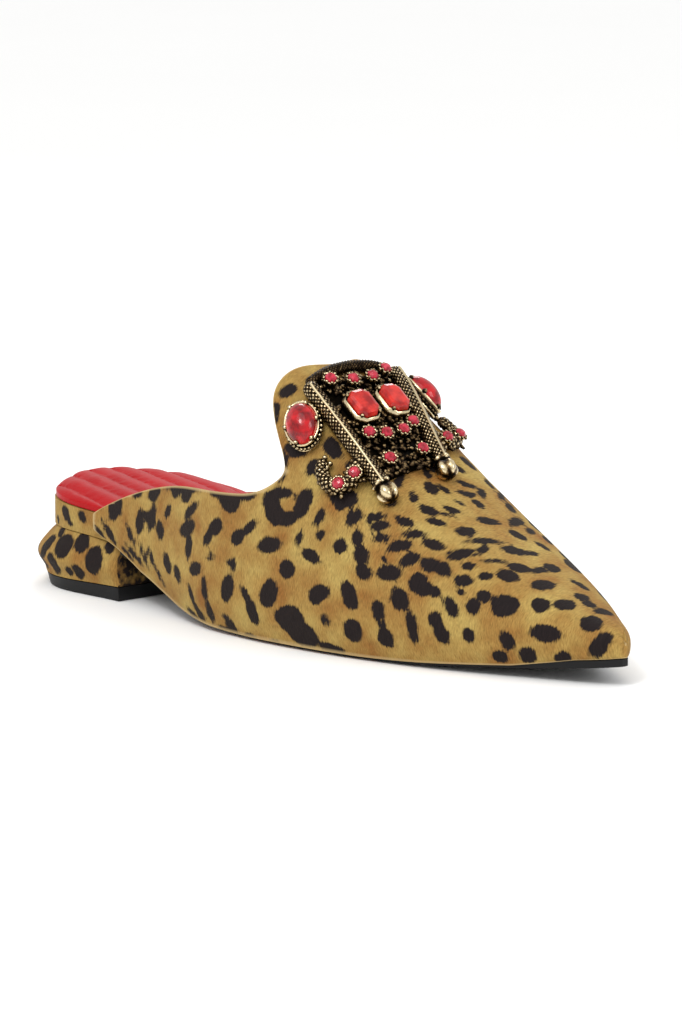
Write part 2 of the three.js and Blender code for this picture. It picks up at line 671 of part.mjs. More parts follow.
const BOTH = [LATERAL, MEDIAL];
function broochGeometry() {
  const parts = [broochPlate()];
  const arch = [
    { down: ROD[0].down, across: -ROD[0].across },
    { down: ARCH_TOP, across: 0 },
    { down: ROD[0].down, across: ROD[0].across },
  ];
  parts.push(bar(arch, 1, SCROLL_RADIUS, 8, 6));
  for (const side of BOTH) {
    parts.push(bar(ROD, side, ROD_RADIUS, 10, 8));
    parts.push(bar(ARM, side, ARM_RADIUS, 4, 6));
    parts.push(bar(SCROLL, side, SCROLL_RADIUS, 11, 6, SCROLL_TAPER));
    const knob = new THREE.SphereGeometry(KNOB_RADIUS, 10, 6);
    parts.push(standOn(knob, ROD[1].down + KNOB_DROP, side * ROD[1].across, BROOCH_GAP + KNOB_RADIUS));
    const foot = ovalRing(CABOCHON, CABOCHON.foot, 0);
    const oval = loft([foot, ovalRing(CABOCHON, CABOCHON.lip, CABOCHON.bezel)]);
    parts.push(standOn(oval, CABOCHON.down, side * CABOCHON.across, BROOCH_GAP));
    const frame = raise(cutCorners(BAGUETTE, BAGUETTE.rim), BAGUETTE.bezel);
    parts.push(standOn(frame, BAGUETTE.down, side * BAGUETTE.across, BROOCH_GAP + BAGUETTE.seat));
    for (const { down, across } of SMALL_STONES) {
      const cup = new THREE.CylinderGeometry(CUP_RADIUS, CUP_RADIUS * CUP_TAPER, CUP_HEIGHT, 8);
      const height = BROOCH_GAP + CUP_SEAT + CUP_HEIGHT / 2;
      parts.push(standOn(cup.rotateX(Math.PI / 2), down, side * across, height));
    }
  }
  return fuse(parts);
}

// The stones, each a clearance above its setting. The cabochon's dome has rings at these shares of its
// height.
const CABOCHON_RISES = [0, 0.4, 0.72, 0.92, 0.99];
function cabochonGeometry(side) {
  const rings = CABOCHON_RISES.map((rise) =>
    ovalRing(CABOCHON, Math.sqrt(1 - rise ** 2), rise * CABOCHON.height));
  return standOn(loft(rings), CABOCHON.down, side * CABOCHON.across, BROOCH_GAP + CABOCHON.bezel + GAP);
}

function baguetteGeometry(side) {
  const { down, across, seat, bezel, height, bevel } = BAGUETTE;
  const stone = new THREE.ExtrudeGeometry(cutCorners(BAGUETTE, -bevel), {
    depth: height - bevel,
    bevelThickness: bevel,
    bevelSize: bevel,
    bevelSegments: 1,
  });
  return standOn(stone, down, side * across, BROOCH_GAP + seat + bezel + GAP + bevel);
}

function smallStoneGeometry({ down, across }, side) {
  const girdle = [[STONE_RADIUS, 0], [STONE_RADIUS, STONE_GIRDLE]];
  const profile = [[0, 0], ...girdle, [STONE_TABLE_RADIUS, STONE_TABLE], [0, STONE_HEIGHT]];
  const stone = new THREE.LatheGeometry(profile.map(([r, z]) => new THREE.Vector2(r, z)), 6);
  return standOn(stone.rotateX(Math.PI / 2), down, side * across, BROOCH_GAP + CUP_SEAT + CUP_HEIGHT + GAP);
}

// The sub-parts
function finish(color, roughness, metalness = 0) {
  return new THREE.MeshStandardMaterial({ color, roughness, metalness });
}
const CALF_HAIR = finish(0xb8923f, 0.75);
const RED_LEATHER = finish(0xc4262e, 0.4);
const BLACK_SOLE = finish(0x17171a, 0.55);
const OLD_GOLD = finish(0x9a7b45, 0.35, 1);
const RED_GLASS = finish(0xc81f2b, 0.08);

const shoe = new THREE.Group();
function add(name, geometry, material) {
  const mesh = new THREE.Mesh(geometry, material);
  mesh.name = name;
  shoe.add(mesh);
}

add('outsole', outsoleGeometry(), BLACK_SOLE);
add('top_lift', liftGeometry(), BLACK_SOLE);
add('heel', heelGeometry(), CALF_HAIR);
add('footbed', footbedGeometry(), CALF_HAIR);
add('sock', sockGeometry(), RED_LEATHER);
add('upper', upperGeometry(), CALF_HAIR);
add('brooch_frame', broochGeometry(), OLD_GOLD);
for (const side of BOTH) {
  const name = side === LATERAL ? 'lateral' : 'medial';
  add(`cabochon_${name}`, cabochonGeometry(side), RED_GLASS);
  add(`baguette_${name}`, baguetteGeometry(side), RED_GLASS);
  SMALL_STONES.forEach((row, i) => {
    add(`stone_${name}_${i + 1}`, smallStoneGeometry(row, side), RED_GLASS);
  });
}

// Stand the shoe over the origin.
const box = new THREE.Box3().setFromObject(shoe);
const middle = box.getCenter(new THREE.Vector3());
shoe.position.set(-middle.x, -middle.y, 0);
const mule = new THREE.Group();
mule.add(shoe);

export default mule;
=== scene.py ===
# %% [markdown]
# # A pointed flat mule in spotted calf hair
# This lesson dresses a finished CAD model of a shoe. The CAD gives the sizes and places; here each solid
# gets a smooth surface, a real material and its small details.

# %% Load the frame
import math
import random

import bmesh
import bpy
import numpy as np
from mathutils import Matrix, Vector
from mathutils.bvhtree import BVHTree
from mathutils.kdtree import KDTree


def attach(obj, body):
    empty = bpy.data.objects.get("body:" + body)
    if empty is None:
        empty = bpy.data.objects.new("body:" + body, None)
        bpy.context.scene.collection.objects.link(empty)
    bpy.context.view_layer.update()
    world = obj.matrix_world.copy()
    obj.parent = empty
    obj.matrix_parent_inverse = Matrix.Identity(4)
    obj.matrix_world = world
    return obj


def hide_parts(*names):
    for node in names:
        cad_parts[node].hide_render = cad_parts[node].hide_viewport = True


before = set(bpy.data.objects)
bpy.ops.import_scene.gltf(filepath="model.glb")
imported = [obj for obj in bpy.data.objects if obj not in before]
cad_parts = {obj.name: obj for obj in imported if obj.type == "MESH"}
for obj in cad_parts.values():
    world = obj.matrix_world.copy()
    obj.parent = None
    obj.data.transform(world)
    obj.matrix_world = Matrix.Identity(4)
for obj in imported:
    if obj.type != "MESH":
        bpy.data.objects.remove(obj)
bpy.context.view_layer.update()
MM = 0.001
print("nodes", len(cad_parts))

# %% [markdown]
# ## Small tools
# Colours are picked as sRGB hex codes and Blender's shaders work in linear light, so one function converts
# them. Another adds a shader node with its settings and links, and short helpers stand for the nodes that
# most materials share: a noise of some size, a colour between two, a moved range and a bump.


# %% Colours and nodes
def srgb(code):
    """The linear colour of an sRGB hex code."""
    shares = [int(code[i:i + 2], 16) / 255 for i in (1, 3, 5)]
    return [s / 12.92 if s <= 0.04045 else ((s + 0.055) / 1.055) ** 2.4 for s in shares] + [1.0]


def add_node(tree, kind, sockets=None, **settings):
    """Adds a node; a socket's value may be an output of another node."""
    node = tree.nodes.new(kind)
    for name, value in settings.items():
        setattr(node, name, value)
    for name, value in (sockets or {}).items():
        if isinstance(value, bpy.types.NodeSocket):
            tree.links.new(value, node.inputs[name])
        else:
            node.inputs[name].default_value = value
    return node


def new_material(name, **sockets):
    """A material with one Principled shader, whose even values are set on its own sockets."""
    material = bpy.data.materials.new(name)
    material.use_nodes = True
    tree = material.node_tree
    shader = tree.nodes["Principled BSDF"]
    for socket, value in sockets.items():
        shader.inputs[socket.replace("_", " ").title().replace("Ior", "IOR")].default_value = value
    return material, tree, shader


def object_place(tree):
    """The place in the object's own coordinates."""
    return add_node(tree, "ShaderNodeTexCoord").outputs["Object"]


def kept_value(tree, name):
    """A value that the mesh keeps for each vertex."""
    return add_node(tree, "ShaderNodeAttribute", attribute_name=name).outputs["Fac"]


def noise(tree, size, detail):
    """Noise with lumps of about a size in mm."""
    sockets = {"Vector": object_place(tree), "Scale": 1 / (size * MM), "Detail": detail}
    return add_node(tree, "ShaderNodeTexNoise", sockets).outputs[0]


def two_tone(tree, share, first, second):
    """A colour between two hex codes."""
    sockets = {0: share, 6: srgb(first), 7: srgb(second)}
    return add_node(tree, "ShaderNodeMix", sockets, data_type="RGBA").outputs[2]


def colour_ramp(tree, value, stops):
    """A colour looked up in a list of positions and hex codes."""
    node = add_node(tree, "ShaderNodeValToRGB", {"Fac": value})
    elements = node.color_ramp.elements
    first, *middle, last = stops
    for number, (position, code) in enumerate((first, last)):
        elements[number].position = position
        elements[number].color = srgb(code)
    for position, code in middle:
        elements.new(position).color = srgb(code)
    return node.outputs[0]


def remap(tree, value, start, end, first, last):
    """Moves a value from between start and end to between first and last."""
    sockets = {"Value": value, 1: start, 2: end, 3: first, 4: last}
    return add_node(tree, "ShaderNodeMapRange", sockets).outputs[0]


def times_plus(tree, value, factor, more):
    """A value times a factor, plus one more value."""
    sockets = {0: value, 1: factor, 2: more}
    return add_node(tree, "ShaderNodeMath", sockets, operation="MULTIPLY_ADD").outputs[0]


def bump(tree, shader, height, strength, distance):
    """Gives a shader a small relief, with its distance in mm."""
    sockets = {"Height": height, "Strength": strength, "Distance": distance * MM}
    node = add_node(tree, "ShaderNodeBump", sockets)
    tree.links.new(node.outputs[0], shader.inputs["Normal"])


# %% Pieces and copies
def make_piece(name, bm, material, nodes=(), smooth=True):
    """Turns a bmesh into an object of the shoe that stands for some CAD nodes."""
    mesh = bpy.data.meshes.new(name)
    bm.to_mesh(mesh)
    bm.free()
    mesh.polygons.foreach_set("use_smooth", [smooth] * len(mesh.polygons))
    mesh.materials.append(material)
    piece = bpy.data.objects.new(name, mesh)
    bpy.context.scene.collection.objects.link(piece)
    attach(piece, "root")
    if nodes:
        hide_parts(*nodes)
    print(name, len(mesh.polygons), "faces")
    return piece


def cad_copy(node):
    """A bmesh of a CAD node whose loose triangles share their corners again."""
    bm = bmesh.new()
    bm.from_mesh(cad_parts[node].data)
    bmesh.ops.remove_doubles(bm, verts=bm.verts, dist=0.01 * MM)
    return bm


def pair_triangles(bm, face_angle=40, shape_angle=70):
    """Joins triangles into quads where the two lie nearly flat."""
    bmesh.ops.join_triangles(
        bm,
        faces=bm.faces,
        angle_face_threshold=math.radians(face_angle),
        angle_shape_threshold=math.radians(shape_angle),
    )


def with_modifiers(bm, *modifiers):
    """Applies modifiers, given as a kind and its settings, to a bmesh."""
    mesh = bpy.data.meshes.new("scratch")
    bm.to_mesh(mesh)
    bm.free()
    scratch = bpy.data.objects.new("scratch", mesh)
    bpy.context.scene.collection.objects.link(scratch)
    for kind, settings in modifiers:
        modifier = scratch.modifiers.new(kind, kind)
        for name, value in settings.items():
            setattr(modifier, name, value)
    done = bmesh.new()
    done.from_object(scratch, bpy.context.evaluated_depsgraph_get())
    bpy.data.objects.remove(scratch)
    bpy.data.meshes.remove(mesh)
    return done


# %% [markdown]
# ## Camera, light and floor
# The photo was taken from the front quarter, a little above the shoe, with a long lens. The camera keeps that
# angle and frames the one shoe. Soft lamps and a pale floor give the even light of a product shot.

# %% Camera
CAMERA_AZIMUTH = 49
CAMERA_ELEVATION = 10.2
CAMERA_DISTANCE = 1.8
CAMERA_TARGET = Vector((0.004, 0.0, 0.038))
FRAME_WIDTH = 0.224
SENSOR = 36
azimuth = math.radians(CAMERA_AZIMUTH)
elevation = math.radians(CAMERA_ELEVATION)
towards_camera = Vector((
    math.sin(azimuth) * math.cos(elevation),
    -math.cos(azimuth) * math.cos(elevation),
    math.sin(elevation),
))
camera = bpy.data.objects.new("camera", bpy.data.cameras.new("camera"))
camera.data.sensor_fit = "HORIZONTAL"
camera.data.sensor_width = SENSOR
camera.data.lens = SENSOR * CAMERA_DISTANCE / FRAME_WIDTH
camera.location = CAMERA_TARGET + towards_camera * CAMERA_DISTANCE
camera.rotation_euler = towards_camera.to_track_quat("Z", "Y").to_euler()
bpy.context.scene.collection.objects.link(camera)
bpy.context.scene.camera = camera
print("lens", round(camera.data.lens))

# %% Light and floor
LAMPS = [
    # name, place in metres, size, watts
    ("key", (0.35, -0.75, 0.95), 0.3, 4.2),
    ("fill", (0.95, 0.35, 0.6), 0.4, 2.0),
    ("rim", (-0.6, 0.55, 0.7), 0.3, 1.8),
    ("back", (-0.9, -0.5, 0.5), 0.6, 0.4),
]
SKY_POWER = 0.7
WORLD_POWER = 0.82
for name, place, size, power in LAMPS:
    lamp = bpy.data.objects.new(name, bpy.data.lights.new(name, "AREA"))
    lamp.data.size = size
    lamp.data.energy = power
    lamp.location = place
    lamp.rotation_euler = (Vector(place) - CAMERA_TARGET).to_track_quat("Z", "Y").to_euler()
    bpy.context.scene.collection.objects.link(lamp)
sky = bpy.data.objects.new("overhead", bpy.data.lights.new("overhead", "SUN"))
sky.data.energy = SKY_POWER
sky.data.angle = math.radians(50)
sky.rotation_euler = (math.radians(28), math.radians(18), 0)
bpy.context.scene.collection.objects.link(sky)
world = bpy.data.worlds.new("studio")
bpy.context.scene.world = world
world.use_nodes = True
background = world.node_tree.nodes["Background"]
background.inputs["Color"].default_value = srgb("#ffffff")
background.inputs["Strength"].default_value = WORLD_POWER
bpy.context.scene.view_settings.view_transform = "Standard"

floor_material, floor_tree, floor_shader = new_material("white studio paper", roughness=0.9)
paper = add_node(floor_tree, "ShaderNodeTexNoise", {"Scale": 40.0, "Detail": 3.0}).outputs[0]
paper_tone = two_tone(floor_tree, paper, "#fafaf9", "#fdfdfc")
floor_tree.links.new(paper_tone, floor_shader.inputs["Base Color"])
bm = bmesh.new()
bmesh.ops.create_grid(bm, x_segments=2, y_segments=2, size=6)
floor_mesh = bpy.data.meshes.new("floor")
bm.to_mesh(floor_mesh)
bm.free()
floor_mesh.materials.append(floor_material)
floor = bpy.data.objects.new("floor", floor_mesh)
floor.location.z = -0.2 * MM
bpy.context.scene.collection.objects.link(floor)
print("lamps", len(LAMPS) + 1)

# %% [markdown]
# ## The upper's surface
# The real upper is one piece of calf hair leather pulled over a last, with a thin lining glued inside. The
# CAD node is a faceted wall. Its outer skin is cut free along its sharp edges and smoothed by subdivision,
# and then both layers get their thickness from it, so that the topline shows two leathers meeting.

# %% Cut the outer skin free and smooth it
SHARP = math.radians(58)
bm = cad_copy("upper")
sharp = [e for e in bm.edges if len(e.link_faces) == 2 and e.calc_face_angle() > SHARP]
bmesh.ops.split_edges(bm, edges=sharp)
islands = []
left = set(bm.faces)
while left:
    island = []
    todo = [left.pop()]
    while todo:
        face = todo.pop()
        island.append(face)
        for edge in face.edges:
            for other in edge.link_faces:
                if other in left:
                    left.remove(other)
                    todo.append(other)
    islands.append(island)
islands.sort(key=lambda island: -sum(f.calc_area() for f in island))
print("islands", [round(sum(f.calc_area() for f in i) * 1e6) for i in islands][:6])
keep = set(islands[0])
bmesh.ops.delete(bm, geom=[f for f in bm.faces if f not in keep], context="FACES")
bmesh.ops.remove_doubles(bm, verts=bm.verts, dist=0.01 * MM)
pair_triangles(bm)
print("open edges", sum(edge.is_boundary for edge in bm.edges))
skin = with_modifiers(bm, ("SUBSURF", {"levels": 2, "render_levels": 2}))
print("skin", len(skin.faces))

# %% [markdown]
# ## The edge at the sole
# On the real shoe the upper is turned in under the foot, and only a thin line of the sole shows below it.
# The CAD wall ends on top of the sole, so its lower edge is drawn down here, and the sole is later set in
# behind it. The skin above follows, less and less with its distance, so that no step shows.

# %% Draw the lower edge down
EDGE_DROP = 1.7 * MM
WAIST_DROP = 0.8 * MM
DROP_REACH = 7 * MM
# along the shoe: the drop's start at the back, its end at the toe, and the waist
BACK_FADE = (-76 * MM, -62 * MM)
TOE_FADE = (122 * MM, 102 * MM)
WAIST = (-15 * MM, -40 * MM)
# the open edge below this height, which rises to the back, is the lower edge
LOW_EDGE = 9 * MM
LOW_RISE = 0.25


def ramp_between(value, start, end):
    """0 at the start, 1 at the end and in between on the way."""
    return min(1, max(0, (value - start) / (end - start)))


def nearest_to(places):
    """A search tree of places."""
    tree = KDTree(len(places))
    for number, place in enumerate(places):
        tree.insert(place, number)
    tree.balance()
    return tree


open_edge = [v for v in skin.verts if v.is_boundary]
low = [v.co.copy() for v in open_edge if v.co.z < LOW_EDGE + max(0, -v.co.x) * LOW_RISE]
low_edge = nearest_to(low)
for vertex in skin.verts:
    _, _, gap = low_edge.find(vertex.co)
    share = max(0, 1 - gap / DROP_REACH) ** 2
    fade = ramp_between(vertex.co.x, *BACK_FADE) * ramp_between(vertex.co.x, *TOE_FADE)
    drop = EDGE_DROP + WAIST_DROP * ramp_between(vertex.co.x, *WAIST)
    vertex.co.z -= drop * share * fade
cut_edge = nearest_to([v.co.copy() for v in open_edge])
upper_tree = BVHTree.FromBMesh(skin)
print("lower edge", len(low), "of", len(open_edge), "open vertices")

# %% The two layers of the wall
HAIR_LAYER = 0.9 * MM
LINING_GAP = 0.05 * MM
LINING_LAYER = 0.75 * MM
CUT_LIGHT = 0.6 * MM
LINING_END = 112 * MM
RIM_ROUND = {"width": 0.25 * MM, "segments": 2, "limit_method": "ANGLE", "angle_limit": math.radians(60)}


def layer_of(sheet, depth, thickness):
    """A closed layer of a wall: the sheet sunk by a depth and given a thickness inwards."""
    bm = sheet.copy()
    bm.normal_update()
    for vertex in bm.verts:
        vertex.co -= vertex.normal * depth
    thicken = {"thickness": thickness, "offset": -1, "use_even_offset": True}
    return with_modifiers(bm, ("SOLIDIFY", thicken), ("BEVEL", RIM_ROUND))


hair_layer = layer_of(skin, 0, HAIR_LAYER)
cut = hair_layer.verts.layers.float.new("cut")
for vertex in hair_layer.verts:
    vertex[cut] = max(0, 1 - cut_edge.find(vertex.co)[2] / CUT_LIGHT)
lining_sheet = skin.copy()
geom = lining_sheet.verts[:] + lining_sheet.edges[:] + lining_sheet.faces[:]
toe_plane = {"plane_co": (LINING_END, 0, 0), "plane_no": (1, 0, 0)}
bmesh.ops.bisect_plane(lining_sheet, geom=geom, clear_outer=True, **toe_plane)
lining_layer = layer_of(lining_sheet, HAIR_LAYER + LINING_GAP, LINING_LAYER)
print("hair", len(hair_layer.faces), "lining", len(lining_layer.faces))

# %% [markdown]
# ## The spotted print
# The print is dyed into the hair in soft dark strokes. Each stroke is charted by its two ends and its
# width, on the shoe's own surface: for the upper an end is a distance along the shoe and an angle round it,
# and for the heel an angle round the heel and a height. Every vertex then keeps its distance to the nearest
# stroke, and the shader blurs that edge with hairs.

# %% Charts of the strokes
AXIS_HEIGHT = 8 * MM
CHART_ZERO = 1 * MM
UPPER_STROKES = [
    # from: mm along, degrees round; to: mm along, degrees round; mm wide
    # the rear quarter
    (-67, 44.5, -63, 46, 3), (-57, 44, -52, 46.5, 4.5), (-46, 47, -28, 48, 3), (-42, 45, -40, 46, 4),
    (-36, 43.5, -32, 46, 4.5), (-19, 47.5, -11, 49, 3), (-33, 37.5, -27.5, 41.5, 3),
    (-46, 37.5, -44, 41, 2.5), (-56, 31.5, -54, 41, 4), (-62.5, 28.5, -62, 38, 4), (-61, 36, -56, 36.5, 3),
    (-78, 34, -75, 41, 6), (-50.5, 34, -48, 28.5, 4.5), (-35, 32, -28, 34.5, 4.5),
    (-30, 31, -29.5, 21.5, 4), (-13, 37, -17, 33, 5), (-17, 33, -20, 28.5, 3.5),
    (-69.5, 31.5, -65.5, 23, 2.2), (-82, 30, -77, 22, 2.5), (-88, 27.5, -83, 23, 2),
    (-68, 20, -62, 13.5, 1.8), (-72, 19.5, -68, 15, 1.8), (-61, 22.5, -57.5, 13, 2.2),
    (-56, 21.5, -52, 13, 2.4), (-52, 13, -47, 4, 1.8), (-45, 20.5, -42, 13, 4),
    (-37.5, 15.5, -34.5, 9.5, 3.2), (-18, 23, -14.5, 23.5, 1.8), (-16, 24.5, -16, 25, 1.5),
    (-27, 16, -22, 17.5, 4), (-28, 8, -26, 1, 2.5), (-25.5, -1, -21.5, -7, 3), (-19, 12.5, -17.5, 4, 3),
    (-17, 3, -16, -6, 3.5), (-31, -5, -26, -12, 2.5), (-14, -13, -8, -15, 2.5),
    # below the throat
    (-13, 44.5, -5.5, 44, 7), (-5, 46, 2, 49, 3), (4.5, 39.5, -1, 35, 3), (-1, 35, -5.5, 31.5, 4.5),
    (8, 48, 12, 46, 6.5), (10, 49.5, 17, 51, 3), (9.5, 45, 15, 42.5, 6.5), (15, 42.5, 21, 44.5, 4.5),
    (22.5, 46, 24, 53, 6), (31.5, 49.5, 30, 45, 3), (31.5, 41, 33.5, 42.5, 3.5), (25, 40.5, 23.5, 36, 2.3),
    (27, 33.8, 33, 32.3, 3.7), (39, 40, 42, 40.5, 5), (8, 31.8, 16, 34.5, 5), (-7, 22.5, -4, 23.5, 2.5),
    (-5, 24.5, -4, 20.5, 1.5), (18.5, 26, 22.5, 24.5, 6), (-6, 16, -7, 7, 5.5), (1, 13, 4, 8, 2.5),
    (5, 7, 7, -1, 4.5), (15, 17.5, 12, 9, 7), (10, 11, 13, 12, 4.5), (18, 2.5, 27, 4.5, 8.5),
    (22, -2, 32, -4.5, 8.5), (32, 16.5, 38, 20, 5), (33.5, 14.5, 34.5, 17, 4.5), (37.5, 8.5, 38.5, 4, 2.7),
    (45, 25.5, 48.5, 16, 5.5), (48, 7, 49, -1, 7), (-8.5, -2, -4.5, -10, 3.5), (0, -12, 5, -13.5, 2.5),
    (12, -12, 16, -12.5, 2), (34, -8, 42, -10, 3.5),
    # the tab and round the brooch
    (1.5, 71.5, 4, 74, 4.5), (1, 68.5, 2.5, 66.5, 4), (3, 62.5, 4, 60.5, 2), (11.5, 61.3, 18, 63, 4.5),
    # the stroke from 23.5 mm at 68.5 degrees lies beside a rod: it is partly a spot and partly the rod's
    # painted shadow
    (10.5, 59, 12, 56, 4), (24, 62, 22.3, 58.3, 4.5), (23.5, 68.5, 28, 66.5, 5), (33, 67, 37, 65.5, 4),
    (33, 55.5, 40, 58, 6), (35, 54.5, 38, 55, 5), (6, 78, 9, 80, 4), (20, 92, 24, 95, 4),
    (30, 85, 34, 88, 4), (12, 95, 15, 99, 4), (38, 100, 42, 97, 4),
    # the vamp
    (43, 54.5, 41, 49.5, 3.6), (45, 47.5, 46.5, 43.5, 3.6), (47, 39, 50.5, 40.5, 5.1),
    (49, 35, 52.3, 31.5, 4.6), (46, 54.3, 50.2, 58.5, 2.8), (49, 52.3, 53, 56, 3.1),
    (51.5, 48.3, 55.3, 51.5, 2.4), (57, 47.2, 62, 53, 3.6), (54.5, 61, 58.5, 62.3, 3.1),
    (59.5, 56.5, 64, 61.8, 2.4), (47, 68, 50, 64.5, 4.6), (51, 76, 53.5, 72.5, 2.8),
    (50, 87, 53, 83.5, 4.6), (51.5, 90, 54, 91, 2.6), (57, 73, 60.3, 75.3, 4.1), (61.5, 70, 65, 73, 2.8),
    (60, 82.5, 62.8, 86.8, 2.4), (62, 78.5, 64, 81.5, 1.2), (58.5, 91, 60.5, 93, 1.6),
    (51, 101, 53.5, 107, 2.6), (55, 96.5, 57, 103, 2.6), (59.5, 101, 62.5, 101.5, 3.1),
    (67.8, 93, 70.5, 103, 3.6), (70, 75.5, 72, 83, 4.4), (74.6, 74, 79.2, 91.5, 2.6),
    (66, 58.2, 71, 61, 3.6), (75.2, 59, 78.5, 69, 3.8), (80.5, 57.5, 82.8, 62, 2.8),
    (69.5, 46.8, 73, 50, 4.6), (73, 50, 77.5, 49.5, 4.1), (63, 43.3, 66, 50, 4.1),
    (56.5, 34.8, 62.5, 38, 4.6), (56, 41.8, 57.3, 42, 1.2), (68.5, 35, 71.5, 38.5, 6.1),
    (70, 34.5, 74.5, 35, 4.6), (74.5, 35, 77.5, 35.5, 3.1), (63.3, 28.5, 67, 21.5, 5.6),
    (69.3, 18, 71.3, 3.5, 3.9), (57.3, 20, 58.8, 12.5, 4.6), (59, 12, 60, 6, 2.6), (59.5, 4, 62, -1.5, 5.6),
    (77.3, 22, 79, 14, 4.1), (79, 14, 82, 5.5, 4.6), (81, 33, 84.5, 26, 3.9), (81, 46.8, 85, 50.5, 3.8),
    (83.3, 40.8, 84.8, 41, 1.6), (90, 43.5, 92.5, 46, 4.1), (88.5, 37.5, 90.3, 31.5, 4.6),
    (88.7, 16, 89.8, 8, 3.6), (84.2, 69.8, 87, 78.5, 1.6), (86.5, 57.5, 89, 61.5, 2.6),
    # the toe
    (75.5, 106, 79.3, 109.5, 4), (82.8, 89, 86.5, 100, 4.5), (86.5, 100, 87.5, 108, 2.5),
    (90.2, 79.5, 94.3, 88, 4.5), (90.2, 69.5, 95.2, 71.5, 5), (95, 88, 96, 103, 3),
    (95.3, 105, 95.8, 113, 5), (101.2, 78, 103.2, 93, 5), (95.8, 41.5, 101, 50, 7),
    (106.5, 61, 109, 65, 5.5), (111.3, 74, 114, 88, 4.8), (109.5, 32.5, 116.5, 38, 5.2),
    (100.3, 20, 102.2, 8.5, 4.5), (121.8, 79, 126, 86, 6.5), (127.5, 32, 130.5, 85, 5),
    (106, 4, 108.5, -4, 5.5), (97, -3, 100, -6, 4), (116, -4, 119.5, 6, 4), (103.3, 117, 107.5, 124, 3),
    (111.5, 103, 113, 113, 4), (115.5, 103, 117, 112, 3.5), (120.7, 106, 121.3, 127, 4),
    (81.5, 117, 85, 121.5, 2.5),
]
HEEL_AXIS = -99 * MM
HEEL_STROKES = [
    # from: degrees round, mm high; to: degrees round, mm high; mm wide
    (81.5, 16, 83.5, 15, 8.5), (98, 19.8, 97, 15.5, 6), (111, 16, 111, 9.5, 7.5), (107, 11.5, 111.5, 10, 5),
    (66, 17, 63, 11, 5.5), (73, 11, 77, 6.5, 5.5), (95, 9, 100, 6.5, 4.5), (56, 9, 62, 7, 4.5),
    (48, 12, 48, 9, 4.5), (20, 16, 22, 12, 6), (38, 15.5, 36, 10, 5.5), (1, 12, 4, 8, 5.5),
    (8, 18.5, 2, 18, 5), (28, 19, 33, 18, 4), (-14, 14, -18, 9, 6), (130, 14, 134, 9, 6),
    (150, 16, 146, 11, 6), (74, 19.5, 70, 19, 3.5), (88, 8, 90, 6.5, 3.5), (120, 18.5, 122, 17, 4),
]
RIM_STROKES = [
    (75, 27.5, 79, 24.5, 4), (93, 27.3, 98, 25.5, 3.5), (80, 24.2, 84, 22.8, 2), (48, 24.5, 52, 23.5, 3),
    (30, 26.5, 34, 24, 4), (10, 27, 14, 24.5, 4), (-10, 25.5, -6, 24.5, 4), (62, 23, 66, 22.5, 2.5),
]
print("charted", len(UPPER_STROKES), len(HEEL_STROKES), len(RIM_STROKES))


# %% The distance to the nearest stroke
def upper_ray(along, turn):
    """The ray out to a charted place of the upper."""
    angle = math.radians(turn)
    return Vector((along * MM + CHART_ZERO, 0, AXIS_HEIGHT)), Vector((0, -math.cos(angle), math.sin(angle)))


def heel_ray(turn, height):
    """The ray out to a charted place of the heel or the footbed's rim."""
    angle = math.radians(turn)
    return Vector((HEEL_AXIS, 0, height * MM)), Vector((-math.cos(angle), -math.sin(angle), 0))


HIT_STEPS = 16
HIT_STEP = 0.4


def hit(tree, ray, first, second):
    """Where a charted place lies on a surface; one just past the surface's edge is brought back to it."""
    for step in range(HIT_STEPS):
        for way in (-HIT_STEP, HIT_STEP):
            place, out, _, _ = tree.ray_cast(*ray(first, second + step * way))
            if place is not None:
                return place, out
    return None, None


def lay_strokes(tree, ray, chart):
    """The ends of each charted stroke on a surface, its outward normal and its half width."""
    laid = []
    for *ends, width in chart:
        start, start_out = hit(tree, ray, *ends[:2])
        end, end_out = hit(tree, ray, *ends[2:])
        if start is None or end is None:
            continue
        laid.append((start, end, (start_out + end_out).normalized(), width * MM / 2))
    return laid


FAR = 6 * MM
END_REACH = 0.35
FACING = 0.1


def keep_distance(bm, laid):
    """Stores each vertex's rough distance in mm to the edge of the nearest stroke, a long oval."""
    bm.normal_update()
    points = np.array([v.co for v in bm.verts])
    normals = np.array([v.normal for v in bm.verts])
    nearest = np.full(len(points), FAR)
    for start, end, out, half in laid:
        run = end - start
        reach = max(half, run.length / 2 + END_REACH * half)
        away = points - np.array((start + end) / 2)
        along = away @ np.array(run.normalized())
        across = np.sqrt(np.maximum(0, (away ** 2).sum(axis=1) - along ** 2))
        gap = (np.hypot(along / reach, across / half) - 1) * half
        faces_it = normals @ np.array(out) > FACING
        nearest = np.where(faces_it, np.minimum(nearest, gap), nearest)
    layer = bm.verts.layers.float.new("spot")
    for vertex, gap in zip(bm.verts, nearest / MM):
        vertex[layer] = gap


CLEAR = 2 * MM


def with_other_side(laid, other):
    """Adds those strokes of the other side that keep clear of the ones already laid."""
    middles = [((start + end) / 2, half) for start, end, _, half in laid]
    for start, end, out, half in other:
        middle = (start + end) / 2
        if all((middle - m).length > half + h + CLEAR for m, h in middles):
            laid.append((start, end, out, half))
    return laid


# %% [markdown]
# ## Calf hair
# Calf hair is hide with its short hair left on, dyed with a print: matt along the hair, with a soft sheen
# against it, and with edges between colours that are broken up by single hairs. The hide is pale where it
# was cut, so a thin light line runs along the upper's edges.

# %% The calf hair material
HAIR_WIDTH = 0.45
HAIR_LENGTH = 3.2
FINER = 2.2
# how many mm hairs and lumps move the edge of a spot
HAIR_MOVE = 1.7
LUMP_MOVE = 1.5


